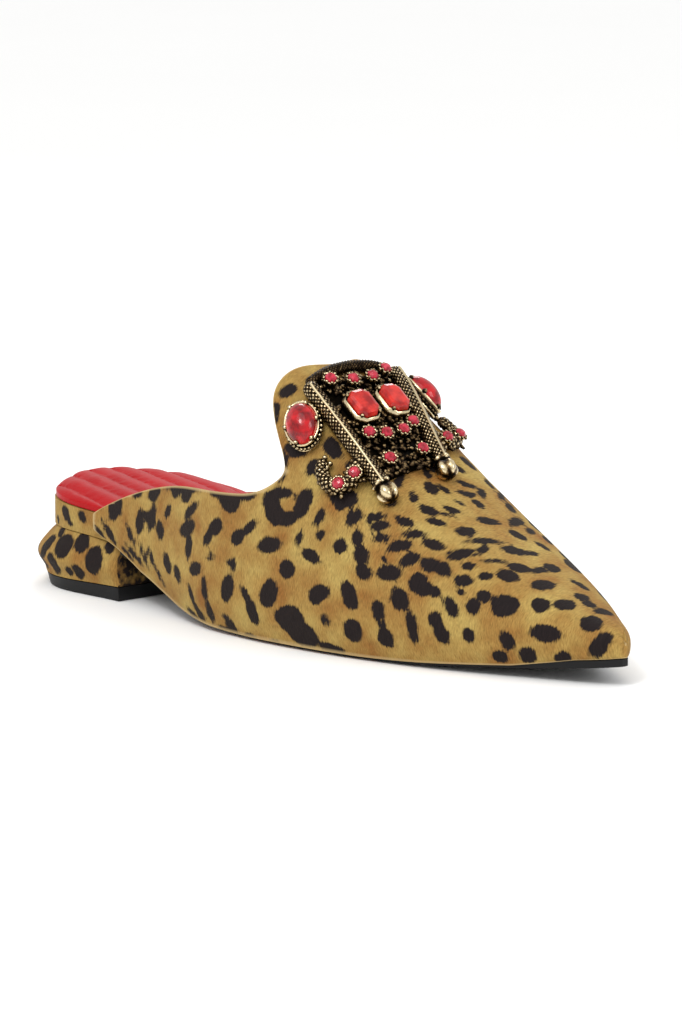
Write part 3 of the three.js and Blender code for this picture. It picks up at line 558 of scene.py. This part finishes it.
def hair_noise(tree, finer):
    """Noise drawn out along the hairs."""
    scale = [finer * (1 / (size * MM)) for size in (HAIR_WIDTH, HAIR_LENGTH, HAIR_LENGTH)]
    drawn = add_node(tree, "ShaderNodeMapping", {"Vector": object_place(tree), "Scale": scale}).outputs[0]
    return add_node(tree, "ShaderNodeTexNoise", {"Vector": drawn, "Scale": 1.0, "Detail": 3.0}).outputs[0]


calf_hair, tree, shader = new_material(
    "short calf hair", roughness=0.7, sheen_weight=0.04, sheen_roughness=0.5, specular_ior_level=0.12,
)
shader.inputs["Sheen Tint"].default_value = srgb("#e8cf9a")
hair = hair_noise(tree, 1)
fibre = hair_noise(tree, FINER)

# the spots
ragged = times_plus(tree, hair, HAIR_MOVE, kept_value(tree, "spot"))
ragged = times_plus(tree, noise(tree, 3, 2.0), LUMP_MOVE, ragged)
spot = remap(tree, ragged, 1.6, 2.25, 1.0, 0.0)
dark = two_tone(tree, hair, "#0e0a0d", "#251c1c")

# the tan ground, with lighter and darker hairs
ground = colour_ramp(tree, noise(tree, 13, 3.0), [(0.3, "#855a2a"), (0.5, "#98783f"), (0.7, "#a88f50")])
streaks = {0: 1.0, 6: ground, 7: remap(tree, fibre, 0.3, 0.7, 0.72, 1.32)}
streaked = add_node(tree, "ShaderNodeMix", streaks, data_type="RGBA", blend_type="MULTIPLY").outputs[2]
coat = add_node(tree, "ShaderNodeMix", {0: spot, 6: streaked, 7: dark}, data_type="RGBA").outputs[2]

# the pale hide along the cut edges
pale = remap(tree, kept_value(tree, "cut"), 0.25, 0.8, 0.0, 0.75)
hide = add_node(tree, "ShaderNodeMix", {0: pale, 6: coat, 7: srgb("#c2a878")}, data_type="RGBA")
tree.links.new(hide.outputs[2], shader.inputs["Base Color"])
bump(tree, shader, fibre, 0.6, 0.3)
print(calf_hair.name, len(tree.nodes), "nodes")

# %% [markdown]
# ## Red leather
# The sock and the lining are thin soft red leather with a satin finish. Its grain is a net of fine creases
# a fraction of a millimetre wide, drawn a little coarser here so that it shows.

# %% The red leather material
GRAIN = 0.9
red_leather, tree, shader = new_material("soft red nappa leather", roughness=0.42, specular_ior_level=0.09)
net = {"Vector": object_place(tree), "Scale": 1 / (GRAIN * MM)}
grain = add_node(tree, "ShaderNodeTexVoronoi", net, feature="SMOOTH_F1").outputs[0]
cloud = noise(tree, 14, 3.0)
tree.links.new(two_tone(tree, cloud, "#9a0b11", "#b5151b"), shader.inputs["Base Color"])
tree.links.new(remap(tree, cloud, 0.0, 1.0, 0.34, 0.46), shader.inputs["Roughness"])
bump(tree, shader, grain, 0.3, 0.15)
print(red_leather.name, len(tree.nodes), "nodes")

# %% Upper and lining
SIDE_SHIFT = 7
other_side = [(a - SIDE_SHIFT, 180 - b, c - SIDE_SHIFT, 180 - d, w) for a, b, c, d, w in UPPER_STROKES]
strokes = lay_strokes(upper_tree, upper_ray, UPPER_STROKES)
strokes = with_other_side(strokes, lay_strokes(upper_tree, upper_ray, other_side))
print("strokes", len(strokes))
keep_distance(hair_layer, strokes)
make_piece("upper_hair", hair_layer, calf_hair, ["upper"])
make_piece("upper_lining", lining_layer, red_leather)

# %% [markdown]
# ## Heel and footbed
# Both are wrapped in the same calf hair, so their edges are rolled and not sharp. The CAD copy keeps its
# sharp edges through subdivision by a crease, and a small bevel then rolls them. The heel's flare is
# smoothed into a bulge. The deep shade on its breast, the face under the arch, is painted into its hair.


# %% Wrapped solids
CREASED = math.radians(45)
ROLLED = math.radians(37)
SPLIT_ROUNDS = 5


def wrapped(node, levels, roll, size):
    """A smooth copy of a CAD node whose sharp edges are rolled, with no edge much longer than a size."""
    bm = cad_copy(node)
    pair_triangles(bm)
    crease = bm.edges.layers.float.new("crease_edge")
    for edge in bm.edges:
        if len(edge.link_faces) == 2 and edge.calc_face_angle() > CREASED:
            edge[crease] = 1.0
    smooth = {"levels": levels, "render_levels": levels}
    edges = {"width": roll, "segments": 3, "limit_method": "ANGLE", "angle_limit": ROLLED}
    bm = with_modifiers(bm, ("SUBSURF", smooth), ("BEVEL", edges))
    for _ in range(SPLIT_ROUNDS):
        long = [e for e in bm.edges if e.calc_length() > size]
        if not long:
            break
        bmesh.ops.subdivide_edges(bm, edges=long, cuts=1, use_grid_fill=True)
        bmesh.ops.triangulate(bm, faces=[f for f in bm.faces if len(f.verts) > 4])
    return bm


def print_round(bm, chart):
    """Lays a chart round the heel, and mirrored on the far side."""
    tree = BVHTree.FromBMesh(bm)
    far_side = [(-a, b, -c, d, w) for a, b, c, d, w in chart]
    strokes = lay_strokes(tree, heel_ray, chart)
    keep_distance(bm, with_other_side(strokes, lay_strokes(tree, heel_ray, far_side)))


# %% Heel and footbed
HEEL_FOOT = 5.5 * MM
HEEL_HEAD = 20 * MM
BULGE_DROP = 1.4 * MM
BULGE_ROUNDS = 30
# the breast's hair is set this close to a spot's edge so that it comes out dark: painted shade under the arch
BREAST_PAINTED_SHADE = 0.05
BREAST_DEPTH = 3 * MM
BREAST_FACING = 0.85
level = {"use_axis_x": True, "use_axis_y": True, "use_axis_z": False}
heel = wrapped("heel", 2, 0.7 * MM, 2 * MM)
soft = [vertex for vertex in heel.verts if HEEL_FOOT < vertex.co.z < HEEL_HEAD]
for _ in range(BULGE_ROUNDS):
    bmesh.ops.smooth_vert(heel, verts=soft, factor=0.5, **level)
for vertex in soft:
    share = (vertex.co.z - HEEL_FOOT) / (HEEL_HEAD - HEEL_FOOT)
    vertex.co.z -= BULGE_DROP * math.sin(math.pi * share)
print_round(heel, HEEL_STROKES)
heel.normal_update()
front = max(vertex.co.x for vertex in heel.verts)
layer = heel.verts.layers.float["spot"]
# painted shade: the hair on the breast is darkened to stand for the deep shade under the arch
breast = [v for v in heel.verts if v.normal.x > BREAST_FACING and v.co.x > front - BREAST_DEPTH]
for vertex in breast:
    vertex[layer] = BREAST_PAINTED_SHADE
print("breast", len(breast), "vertices")
make_piece("heel_cover", heel, calf_hair, ["heel"])
footbed = wrapped("footbed", 2, 1.2 * MM, 3 * MM)
print_round(footbed, RIM_STROKES)
make_piece("footbed_wrap", footbed, calf_hair, ["footbed"])

# %% [markdown]
# ## Sole and lift
# The outsole is thin black leather with a painted edge, and the lift a black rubber. They look alike, so one
# material serves for both. The outsole is narrowed a little, to lie behind the upper's lower edge.

# %% Black sole and lift
sole_leather, tree, shader = new_material("black sole leather", roughness=0.5, specular_ior_level=0.25)
scuff = noise(tree, 5, 6.0)
tree.links.new(two_tone(tree, scuff, "#080809", "#141415"), shader.inputs["Base Color"])
tree.links.new(remap(tree, scuff, 0.0, 1.0, 0.42, 0.65), shader.inputs["Roughness"])
bump(tree, shader, scuff, 0.2, 0.2)

SOLE_INSET = 0.05
outsole = wrapped("outsole", 2, 0.4 * MM, 8 * MM)
for vertex in outsole.verts:
    vertex.co.y *= 1 - SOLE_INSET * ramp_between(vertex.co.x, *TOE_FADE)
make_piece("outsole_leather", outsole, sole_leather, ["outsole"])
lift = wrapped("top_lift", 1, 0.5 * MM, 8 * MM)
make_piece("heel_lift", lift, sole_leather, ["top_lift"])

# %% [markdown]
# ## The quilted sock
# The sock is a pad of thin foam under red leather, sewn in long slanting channels. Cloth pressure can blow
# it up: the sewn lines, the side and the underside are held, and the leather between them rises. The pad is
# simulated at a hundred times its size, because the solver's weights suit large cloths.

# %% Cloth pressure
PUFF = 2.0 * MM
SIM_SCALE = 100
SIM_STEPS = 20
SIM_PRESSURE = 6.0


def puffed(bm, held):
    """Moves a bmesh's free vertices by cloth pressure, none of them by more than the puff."""
    mesh = bpy.data.meshes.new("pad")
    bm.to_mesh(mesh)
    mesh.transform(Matrix.Scale(SIM_SCALE, 4))
    pad = bpy.data.objects.new("pad", mesh)
    scene = bpy.context.scene
    scene.collection.objects.link(pad)
    pad.vertex_groups.new(name="held").add(held, 1.0, "REPLACE")
    cloth = pad.modifiers.new("cloth", "CLOTH")
    cloth.settings.vertex_group_mass = "held"
    cloth.settings.use_pressure = True
    cloth.settings.uniform_pressure_force = SIM_PRESSURE
    cloth.settings.effector_weights.gravity = 0
    cloth.collision_settings.use_collision = False
    cloth.point_cache.frame_end = SIM_STEPS
    for step in range(1, SIM_STEPS + 1):
        scene.frame_set(step)
    blown = pad.evaluated_get(bpy.context.evaluated_depsgraph_get()).data.vertices
    shifts = [moved.co / SIM_SCALE - vertex.co for vertex, moved in zip(bm.verts, blown)]
    print("blown up by", round(max(shift.length for shift in shifts) / MM, 2), "mm")
    for vertex, shift in zip(bm.verts, shifts):
        vertex.co += shift * min(1, PUFF / max(shift.length, 1e-9))
    scene.frame_set(1)
    bpy.data.objects.remove(pad)
    bpy.data.meshes.remove(mesh)


# %% Quilted sock
CHANNEL_SPACING = 8.6 * MM
CHANNEL_ANGLE = math.radians(-11)
CHANNEL_DEPTH = 0.5 * MM
CHANNELS = 12
CUT_SNAP = 0.2 * MM
SEWN_HALF = 0.25 * MM
TOP_FACING = 0.35
sock = wrapped("sock", 2, 1.0 * MM, 1.6 * MM)
across_channels = Vector((-math.sin(CHANNEL_ANGLE), math.cos(CHANNEL_ANGLE), 0))
for number in range(-CHANNELS, CHANNELS + 1):
    geom = sock.verts[:] + sock.edges[:] + sock.faces[:]
    middle = across_channels * number * CHANNEL_SPACING
    bmesh.ops.bisect_plane(sock, geom=geom, dist=CUT_SNAP, plane_co=middle, plane_no=across_channels)
sock.normal_update()
sock.verts.index_update()
held = []
for vertex in sock.verts:
    run = vertex.co.dot(across_channels) / CHANNEL_SPACING
    sewn = abs(run - round(run)) * CHANNEL_SPACING < SEWN_HALF
    if sewn or vertex.normal.z < TOP_FACING:
        held.append(vertex.index)
    if sewn and vertex.normal.z > TOP_FACING:
        vertex.co -= vertex.normal * CHANNEL_DEPTH
puffed(sock, held)
bmesh.ops.triangulate(sock, faces=[f for f in sock.faces if len(f.verts) > 4])
sock_piece = make_piece("quilted_sock", sock, red_leather, ["sock"])

# %% [markdown]
# ## Antique gold and red stones
# The casting was plated in gold and darkened, and then the high places were polished bright again. A value
# for each vertex, its polish, tells the material where metal was rubbed and where the dark patina stayed in
# the hollows. The stones are opaque glass pressed in a mould: a hard gloss over a red that clouds a little.

# %% The antique gold material
PATINA = [(0.45, "#0b0805"), (0.68, "#30241a"), (0.86, "#846d4a"), (1.0, "#dccaa2")]
old_gold, tree, shader = new_material("antique gold plated casting", metallic=1.0)
grit = noise(tree, 0.9, 4.0)
rubbed = times_plus(tree, grit, 0.7, kept_value(tree, "polish"))
tree.links.new(colour_ramp(tree, rubbed, PATINA), shader.inputs["Base Color"])
tree.links.new(remap(tree, rubbed, 0.3, 1.1, 0.6, 0.2), shader.inputs["Roughness"])
bump(tree, shader, grit, 0.3, 0.15)
print(old_gold.name, len(tree.nodes), "nodes")


# %% The stones' materials
def stone_material(name, dark, light, cloud_size):
    """A red glass that clouds between two hex codes."""
    material, tree, shader = new_material(
        name, roughness=0.16, coat_weight=0.25, coat_roughness=0.03, specular_ior_level=0.3,
    )
    cloud = noise(tree, cloud_size, 3.0)
    depth = remap(tree, cloud, 0.36, 0.62, 0.0, 1.0)
    tree.links.new(two_tone(tree, depth, dark, light), shader.inputs["Base Color"])
    bump(tree, shader, cloud, 0.1, 0.3)
    print(name, len(tree.nodes), "nodes")
    return material


cabochon_glass = stone_material("deep red pressed glass", "#6a040a", "#c0141c", 4)
octagon_glass = stone_material("orange red pressed glass", "#8e0d0c", "#cc2c22", 4)
small_glass = stone_material("pink red pressed glass", "#860a1c", "#c42c42", 1.6)

# %% [markdown]
# ## The brooch
# The casting has two scaled rods with knobs, an arch, two scrolls and a ground of leaves and grains between
# them, with a cup for each stone. Its bars, knobs and cups come from one trick: a grid is rolled into a
# closed tube, with each vertex moved to its place round a path or an axis. The grains are small balls. The
# relief is geometry, because light has to catch it.


# %% Rolled grids
def rolled(bm, place, turns, rows):
    """Rolls a grid into a closed shape; place(round, along), each 0 to 1, gives a place and a polish."""
    layer = bm.verts.layers.float.get("polish") or bm.verts.layers.float.new("polish")
    grid = bmesh.ops.create_grid(bm, x_segments=turns, y_segments=rows, size=0.5)["verts"]
    for vertex in grid:
        vertex.co, vertex[layer] = place(vertex.co.x + 0.5, vertex.co.y + 0.5)
    bmesh.ops.remove_doubles(bm, verts=grid, dist=0.01 * MM)


LOBE_SHINE = 2.5


def turned(bm, matrix, profile, turns, oval=(1, 1), lobes=0, lobe_depth=0):
    """A turned shape round the matrix's Z; the profile's rows are radius and height in mm and polish."""
    rows = len(profile) - 1

    def place(around, along):
        radius, height, shine = profile[round(along * rows)]
        angle = 2 * math.pi * around
        lobe = math.cos(lobes * angle) if lobes else 0
        radius *= 1 + lobe_depth * lobe
        shine += LOBE_SHINE * lobe_depth * lobe
        spot = Vector((radius * oval[0] * math.cos(angle), radius * oval[1] * math.sin(angle), height))
        return matrix @ (spot * MM), shine

    rolled(bm, place, turns, rows)


def laid_path(points, lift, count):
    """Even places along a line of points (mm), laid on the upper and lifted off it, and the ways out."""
    points = np.array(points, float)
    reach = np.concatenate([[0], np.cumsum(np.linalg.norm(np.diff(points, axis=0), axis=1))])
    even = np.linspace(0, reach[-1], count)
    line = np.stack([np.interp(even, reach, points[:, axis]) for axis in range(3)], axis=1)
    spots = [upper_tree.find_nearest(Vector(point) * MM) for point in line]
    outs = np.array([spot[1] for spot in spots])
    places = np.array([spot[0] for spot in spots]) + outs * lift * MM
    for _ in range(max(4, count // 6)):
        places[1:-1] = (places[:-2] + 2 * places[1:-1] + places[2:]) / 4
        outs[1:-1] = (outs[:-2] + 2 * outs[1:-1] + outs[2:]) / 4
    return places, outs


def tube(bm, path, radius, turns, relief):
    """A round-ended bar along a laid path; relief(round, along) gives a height in mm and a polish."""
    places, outs = path
    ways = np.gradient(places, axis=0)
    length = np.linalg.norm(np.diff(places, axis=0), axis=1).sum() / MM
    rows = len(places) - 1

    def place(around, along):
        row = round(along * rows)
        way = Vector(ways[row]).normalized()
        out = Vector(outs[row])
        out = (out - way * out.dot(way)).normalized()
        side = way.cross(out)
        size = radius(along)
        to_end = min(along, 1 - along) * length / size
        round_end = math.sqrt(max(0, 1 - max(0, 1 - to_end) ** 2))
        height, shine = relief(around, along)
        angle = 2 * math.pi * around
        reach = (size * round_end + height * min(1, to_end)) * MM
        return Vector(places[row]) + (out * math.cos(angle) + side * math.sin(angle)) * reach, shine

    rolled(bm, place, turns, rows)


SCALE_SLOPE = 0.3


def scales(around_count, along_count, rise, shine=0.64):
    """The relief of a scaled skin: raised diamonds with dark lines between them."""
    def relief(around, along):
        first = abs((around * around_count + along * along_count) % 1 - 0.5)
        second = abs((around * around_count - along * along_count) % 1 - 0.5)
        inside = min(1, (0.5 - max(first, second)) / SCALE_SLOPE)
        return rise * inside, shine * inside
    return relief


def plain(shine):
    """A smooth bar of one polish."""
    return lambda around, along: (0, shine)


# %% Places on the upper
DOWN_THE_TAB = Vector((0.82, 0, -0.57))
DOWN_THE_SIDE = (0.82, 0.42, -1.13)


def standing(foot, out, down=DOWN_THE_TAB):
    """The matrix that stands a shape made round +Z on a place, with its X down the tab."""
    along = (down - out * down.dot(out)).normalized()
    turn = Matrix((along, out.cross(along), out)).transposed().to_4x4()
    return Matrix.Translation(foot) @ turn


def seat_of(node):
    """The middle of a CAD stone's foot and the way out of the upper there."""
    corners = [vertex.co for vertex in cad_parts[node].data.vertices]
    middle = sum(corners, Vector()) / len(corners)
    _, out, _, _ = upper_tree.find_nearest(middle)
    lowest = min(corner.dot(out) for corner in corners)
    return middle + out * (lowest - middle.dot(out)), out


SIDES = {"lateral": -1, "medial": 1}


def cabochon_matrix(name):
    """Where a cabochon stands; its long axis runs down the side of the tab."""
    foot, out = seat_of(f"cabochon_{name}")
    along, across, up = DOWN_THE_SIDE
    return standing(foot, out, Vector((along, across * SIDES[name], up))), out


# the lines below are in mm, in the shoe's frame
GAP = 0.5
ROD_RADIUS = 2.5
ROD_ENDS = {
    "lateral": [(9.1, -18.8, 81.2), (46.6, -19.2, 52.4)],
    "medial": [(9.1, 15.1, 82), (46.6, 5.1, 56.6)],
}
SCROLLS = {
    "lateral": [(35.6, -19.2, 61.3), (38.1, -22.6, 56.7), (37.6, -26.5, 53.2), (34.1, -28.9, 52.7),
                (30.1, -29.4, 54.9), (27.6, -28.1, 58.9), (28.6, -26.4, 60.5)],
    "medial": [(35.6, 8.2, 65), (38.1, 11.6, 62.6), (37.6, 17.3, 61.9), (34.1, 22, 62.6),
               (30.1, 23.9, 64.1), (27.6, 22.5, 66.6), (28.6, 19.6, 67.7)],
}
ARMS = {
    "lateral": [(16.1, -16.4, 77.7), (16.1, -23.5, 72.3)],
    "medial": [(16.1, 11.2, 79.2), (16.1, 19.4, 75.5)],
}
ARCH = [(9.1, -18.8, 81.2), (8.6, -10.8, 84.5), (8.1, -1.8, 85.3), (8.6, 7.2, 84.7), (9.1, 15.1, 82)]
print("lines", len(ROD_ENDS) + len(SCROLLS) + len(ARMS) + 1)

# %% Rods, arch, arms, scrolls and knobs
metal = bmesh.new()
KNOB = [
    # radius, height, polish
    (0, -4.6, 0), (2.6, -4.5, 0.1), (3.2, -4, 0.6), (3.2, -3.3, 0.6), (2.4, -2.8, 0), (2.5, -2.4, 0),
    (3.2, -1.4, 0.3), (3.6, -0.2, 0.6), (3.5, 1.2, 0.7), (2.9, 2.4, 0.6), (1.9, 3.3, 0.4), (0.9, 3.5, 0.1),
    (0, 3.4, 0),
]
KNOB_REACH = 2.6
CREST_START = 6
CREST_RISE = 0.25
CREST_RADIUS = 0.5
ARM_RADIUS = 1.5
SCROLL_RADIUS = 2.4
ARCH_RADIUS = 1.8
scrolls = []
for name in SIDES:
    places, outs = laid_path(ROD_ENDS[name], GAP + ROD_RADIUS, 153)
    tube(metal, (places, outs), lambda along: ROD_RADIUS, 56, scales(11, 27, 0.36))
    crest_outs = outs[CREST_START:]
    crest = places[CREST_START:] + crest_outs * (ROD_RADIUS + CREST_RISE) * MM
    tube(metal, (crest, crest_outs), lambda along: CREST_RADIUS, 8, plain(0.85))
    way = Vector(places[-1] - places[-9]).normalized()
    foot = Matrix.Translation(Vector(places[-1]) + way * KNOB_REACH * MM)
    turn = way.to_track_quat("Z", "Y").to_matrix().to_4x4()
    turned(metal, foot @ turn, KNOB, 40, lobes=5, lobe_depth=0.1)
    arm = laid_path(ARMS[name], GAP + 1.4, 24)
    tube(metal, arm, lambda along: ARM_RADIUS, 16, scales(5, 8, 0.2))
    scroll = laid_path(SCROLLS[name], GAP + 1.9, 91)
    tube(metal, scroll, lambda along: SCROLL_RADIUS - along, 32, scales(6, 15, 0.5))
    scrolls.append(scroll)
arch = laid_path(ARCH, GAP + 1.6, 121)
tube(metal, arch, lambda along: ARCH_RADIUS, 40, scales(10, 30, 0.3, 0.45))
print("bars", len(metal.faces))


# %% Settings for the stones
def ball(bm, centre, out, radius, stretch=(1, 1, 1), down=DOWN_THE_TAB, shine=0.75):
    """A grain or leaf of few faces, polished on top."""
    layer = bm.verts.layers.float["polish"]
    matrix = standing(centre, out, down) @ Matrix.Diagonal((*stretch, 1))
    for vertex in bmesh.ops.create_icosphere(bm, subdivisions=1, radius=radius * MM, matrix=matrix)["verts"]:
        rise = (vertex.co - centre).dot(out) / (radius * stretch[2] * MM)
        vertex[layer] = shine * (0.2 + 0.8 * rise)


def ring_of_balls(bm, matrix, count, radius, oval, height, out):
    """Grains side by side on an oval round the matrix's Z."""
    for number in range(count):
        angle = 2 * math.pi * (number + 0.5) / count
        spot = Vector((oval[0] * math.cos(angle), oval[1] * math.sin(angle), height))
        ball(bm, matrix @ (spot * MM), out, radius)


# %% Beads and cups
BEAD_STEP = 6
BEAD_SINK = 0.5
for places, outs in scrolls:
    ways = np.gradient(places, axis=0)
    for row in range(BEAD_STEP, len(places), BEAD_STEP):
        out = Vector(outs[row])
        side = Vector(ways[row]).normalized().cross(out)
        reach = (2.5 - row / len(places)) * MM
        ball(metal, Vector(places[row]) + side * reach - out * BEAD_SINK * MM, out, 1.0)
        ball(metal, Vector(places[row]) - side * reach - out * BEAD_SINK * MM, out, 1.0)

CUP = [
    (0, -3.6, 0), (2.1, -3.6, 0), (2.3, -3, 0.3), (1.9, -2.2, 0), (2.1, -1, 0.2), (2.5, 0, 0.7),
    (2.5, 0.5, 0.9), (2.2, 0.5, 0.8), (2.1, -0.1, 0.2), (0, -0.1, 0),
]
CUP_CLEAR = 2.6
OCTAGON_CLEAR = 6.5
STONE_COUNT = 7
seats = []
for name in SIDES:
    for number in range(1, STONE_COUNT + 1):
        foot, out = seat_of(f"stone_{name}_{number}")
        seats.append((foot, CUP_CLEAR))
        matrix = standing(foot, out)
        turned(metal, matrix, CUP, 16, lobes=8, lobe_depth=0.04)
        ring_of_balls(metal, matrix, 8, 0.62, (2.35, 2.35), 0.55, out)

CABOCHON = (7.4, 5.3)
BEZEL = [
    # a share of the stone's radius, height, polish
    (0, -3, 0), (1.1, -3, 0.1), (1.2, -2.6, 0.6), (1.2, -2.1, 0.7), (1.08, -1.6, 0), (1.06, -0.8, 0.1),
    (1.12, 0.2, 0.7), (1.12, 0.7, 1), (1.05, 0.8, 1), (1.0, 0.3, 0.4), (0, 0.2, 0),
]
BEADED = [size * 1.14 for size in CABOCHON]
CLAWS = [size * 1.02 for size in CABOCHON]
for name in SIDES:
    matrix, out = cabochon_matrix(name)
    turned(metal, matrix, BEZEL, 48, oval=CABOCHON)
    ring_of_balls(metal, matrix, 30, 0.7, BEADED, -1.4, out)
    for angle in (30, 90, 150, 210, 270, 330):
        turn = math.radians(angle)
        spot = Vector((CLAWS[0] * math.cos(turn), CLAWS[1] * math.sin(turn), 1.0))
        ball(metal, matrix @ (spot * MM), out, 1.0, (1, 1, 1.2))
print("settings", len(metal.faces))


# %% Octagons
def octagon(bm, matrix, length, width, bottom, top, corner):
    """A block with cut corners round the matrix's Z; gives its top face."""
    middle = Matrix.Translation((0, 0, (bottom + top) / 2 * MM))
    size = Matrix.Diagonal((length * MM, width * MM, (top - bottom) * MM, 1))
    verts = bmesh.ops.create_cube(bm, size=1, matrix=matrix @ middle @ size)["verts"]
    axis = matrix.to_3x3() @ Vector((0, 0, 1))
    edges = {edge for vertex in verts for edge in vertex.link_edges}
    upright = [e for e in edges if abs((e.verts[0].co - e.verts[1].co).normalized().dot(axis)) > 0.9]
    made = bmesh.ops.bevel(
        bm, geom=upright, offset=corner * MM, affect="EDGES", segments=1, profile=0.5, material=-1,
    )
    faces = {f for face in made["faces"] for e in face.edges for f in e.link_faces}
    return max(faces, key=lambda face: face.calc_center_median().dot(axis))


OCTAGON = (11, 8.4)
SETTING_RIM = 1.5
LIP = 0.7 * MM
CLAW_SHARE = 0.42
layer = metal.verts.layers.float["polish"]
for name in SIDES:
    foot, out = seat_of(f"baguette_{name}")
    seats.append((foot, OCTAGON_CLEAR))
    matrix = standing(foot, out)
    lid = octagon(metal, matrix, OCTAGON[0] + SETTING_RIM, OCTAGON[1] + SETTING_RIM, -3.2, 0.8, 2.5)
    bmesh.ops.inset_individual(metal, faces=[lid], thickness=LIP, depth=0)
    for vertex in lid.verts:
        vertex.co -= out * LIP
        for edge in vertex.link_edges:
            edge.other_vert(vertex)[layer] = 0.95
    for vertex in lid.verts:
        vertex[layer] = 0.1
    x, y = [size * CLAW_SHARE for size in OCTAGON]
    for corner in ((-x, -y), (-x, y), (x, -y), (x, y)):
        ball(metal, matrix @ (Vector((*corner, 1.0)) * MM), out, 0.8)
print("octagon settings", len(metal.faces))

# %% The ground between the rods
GROUND_ROWS = 40
GROUND_TURNS = 24
GROUND_THICK = 1.3
draw = random.Random(7)
edges = [np.array(ROD_ENDS[name], float) for name in SIDES]


def ground_spot(across, down):
    """A place on the upper between the rods, and the way out."""
    ends = [edge[0] + (edge[1] - edge[0]) * down for edge in edges]
    place, out, _, _ = upper_tree.find_nearest(Vector(ends[0] + (ends[1] - ends[0]) * across) * MM)
    return place, out


def ground_plate(around, along):
    """A flat closed pad: the first half of the grid is its top and the second its underside."""
    across = 2 * around if around < 0.5 else 2 - 2 * around
    place, out = ground_spot(0.03 + 0.94 * across, 0.02 + 0.93 * along)
    thick = 0.0 if along in (0, 1) else GROUND_THICK * min(1, 8 * min(across, 1 - across))
    height = GAP + (thick if around < 0.5 else 0)
    return place + out * height * MM, 0.05


rolled(metal, ground_plate, 2 * GROUND_TURNS, GROUND_ROWS)

# %% Leaves and grains
LEAVES = 90
GRAINS = 260
MARGIN = 0.6
PETALS = 6
PETAL_REACH = 3.1
LEAF_HEIGHT = 2.2
for number in range(LEAVES + GRAINS):
    place, out = ground_spot(draw.uniform(0.1, 0.9), draw.uniform(0.0, 0.97))
    turn = draw.uniform(0, 2 * math.pi)
    size = draw.uniform(0.55, 0.95)
    if any((place - seat).length < clear * MM + MARGIN * MM for seat, clear in seats):
        continue
    way = Vector((math.cos(turn), math.sin(turn), 0.3))
    if number < LEAVES:
        ball(metal, place + out * LEAF_HEIGHT * MM, out, 1.3, (1.5, 0.75, 0.6), way, 0.5)
    else:
        ball(metal, place + out * draw.uniform(1.7, 2.6) * MM, out, size, down=way, shine=0.5)
for seat, clear in seats:
    if clear > CUP_CLEAR:
        continue
    place, out, _, _ = upper_tree.find_nearest(seat)
    matrix = standing(place, out)
    for number in range(PETALS):
        turn = 2 * math.pi * (number + 0.5) / PETALS
        away = matrix.to_3x3() @ Vector((math.cos(turn), math.sin(turn), 0))
        foot = place + away * PETAL_REACH * MM + out * LEAF_HEIGHT * MM
        ball(metal, foot, out, 1.2, (1.3, 0.7, 0.55), away, 0.6)
bmesh.ops.recalc_face_normals(metal, faces=metal.faces)
make_piece("brooch_metal", metal, old_gold, ["brooch_frame"])

# %% The stones
DOME_HEIGHT = 5
rises = np.linspace(0, math.pi / 2, 12)
DOME = [(0, 0.1, 0), (1, 0.1, 0)] + [(math.cos(rise), DOME_HEIGHT * math.sin(rise), 0) for rise in rises]
GEM = [(0, 0.1, 0), (2.05, 0.1, 0), (2.05, 0.6, 0), (1.85, 1.1, 0), (1.15, 1.8, 0), (0, 1.95, 0)]
for name in SIDES:
    stone = bmesh.new()
    turned(stone, cabochon_matrix(name)[0], DOME, 40, oval=CABOCHON)
    bmesh.ops.recalc_face_normals(stone, faces=stone.faces)
    make_piece(f"red_cabochon_{name}", stone, cabochon_glass, [f"cabochon_{name}"])

    stone = bmesh.new()
    matrix = standing(*seat_of(f"baguette_{name}"))
    lid = octagon(stone, matrix, OCTAGON[0], OCTAGON[1], 0.2, 2.6, 2.2)
    facets = {"offset": 1.5 * MM, "segments": 2, "profile": 0.5, "material": -1}
    bmesh.ops.bevel(stone, geom=list(lid.edges), affect="EDGES", **facets)
    bmesh.ops.recalc_face_normals(stone, faces=stone.faces)
    make_piece(f"red_octagon_{name}", stone, octagon_glass, [f"baguette_{name}"], smooth=False)

    for number in range(1, STONE_COUNT + 1):
        stone = bmesh.new()
        turned(stone, standing(*seat_of(f"stone_{name}_{number}")), GEM, 8)
        bmesh.ops.recalc_face_normals(stone, faces=stone.faces)
        nodes = [f"stone_{name}_{number}"]
        make_piece(f"red_stone_{name}_{number}", stone, small_glass, nodes, smooth=False)
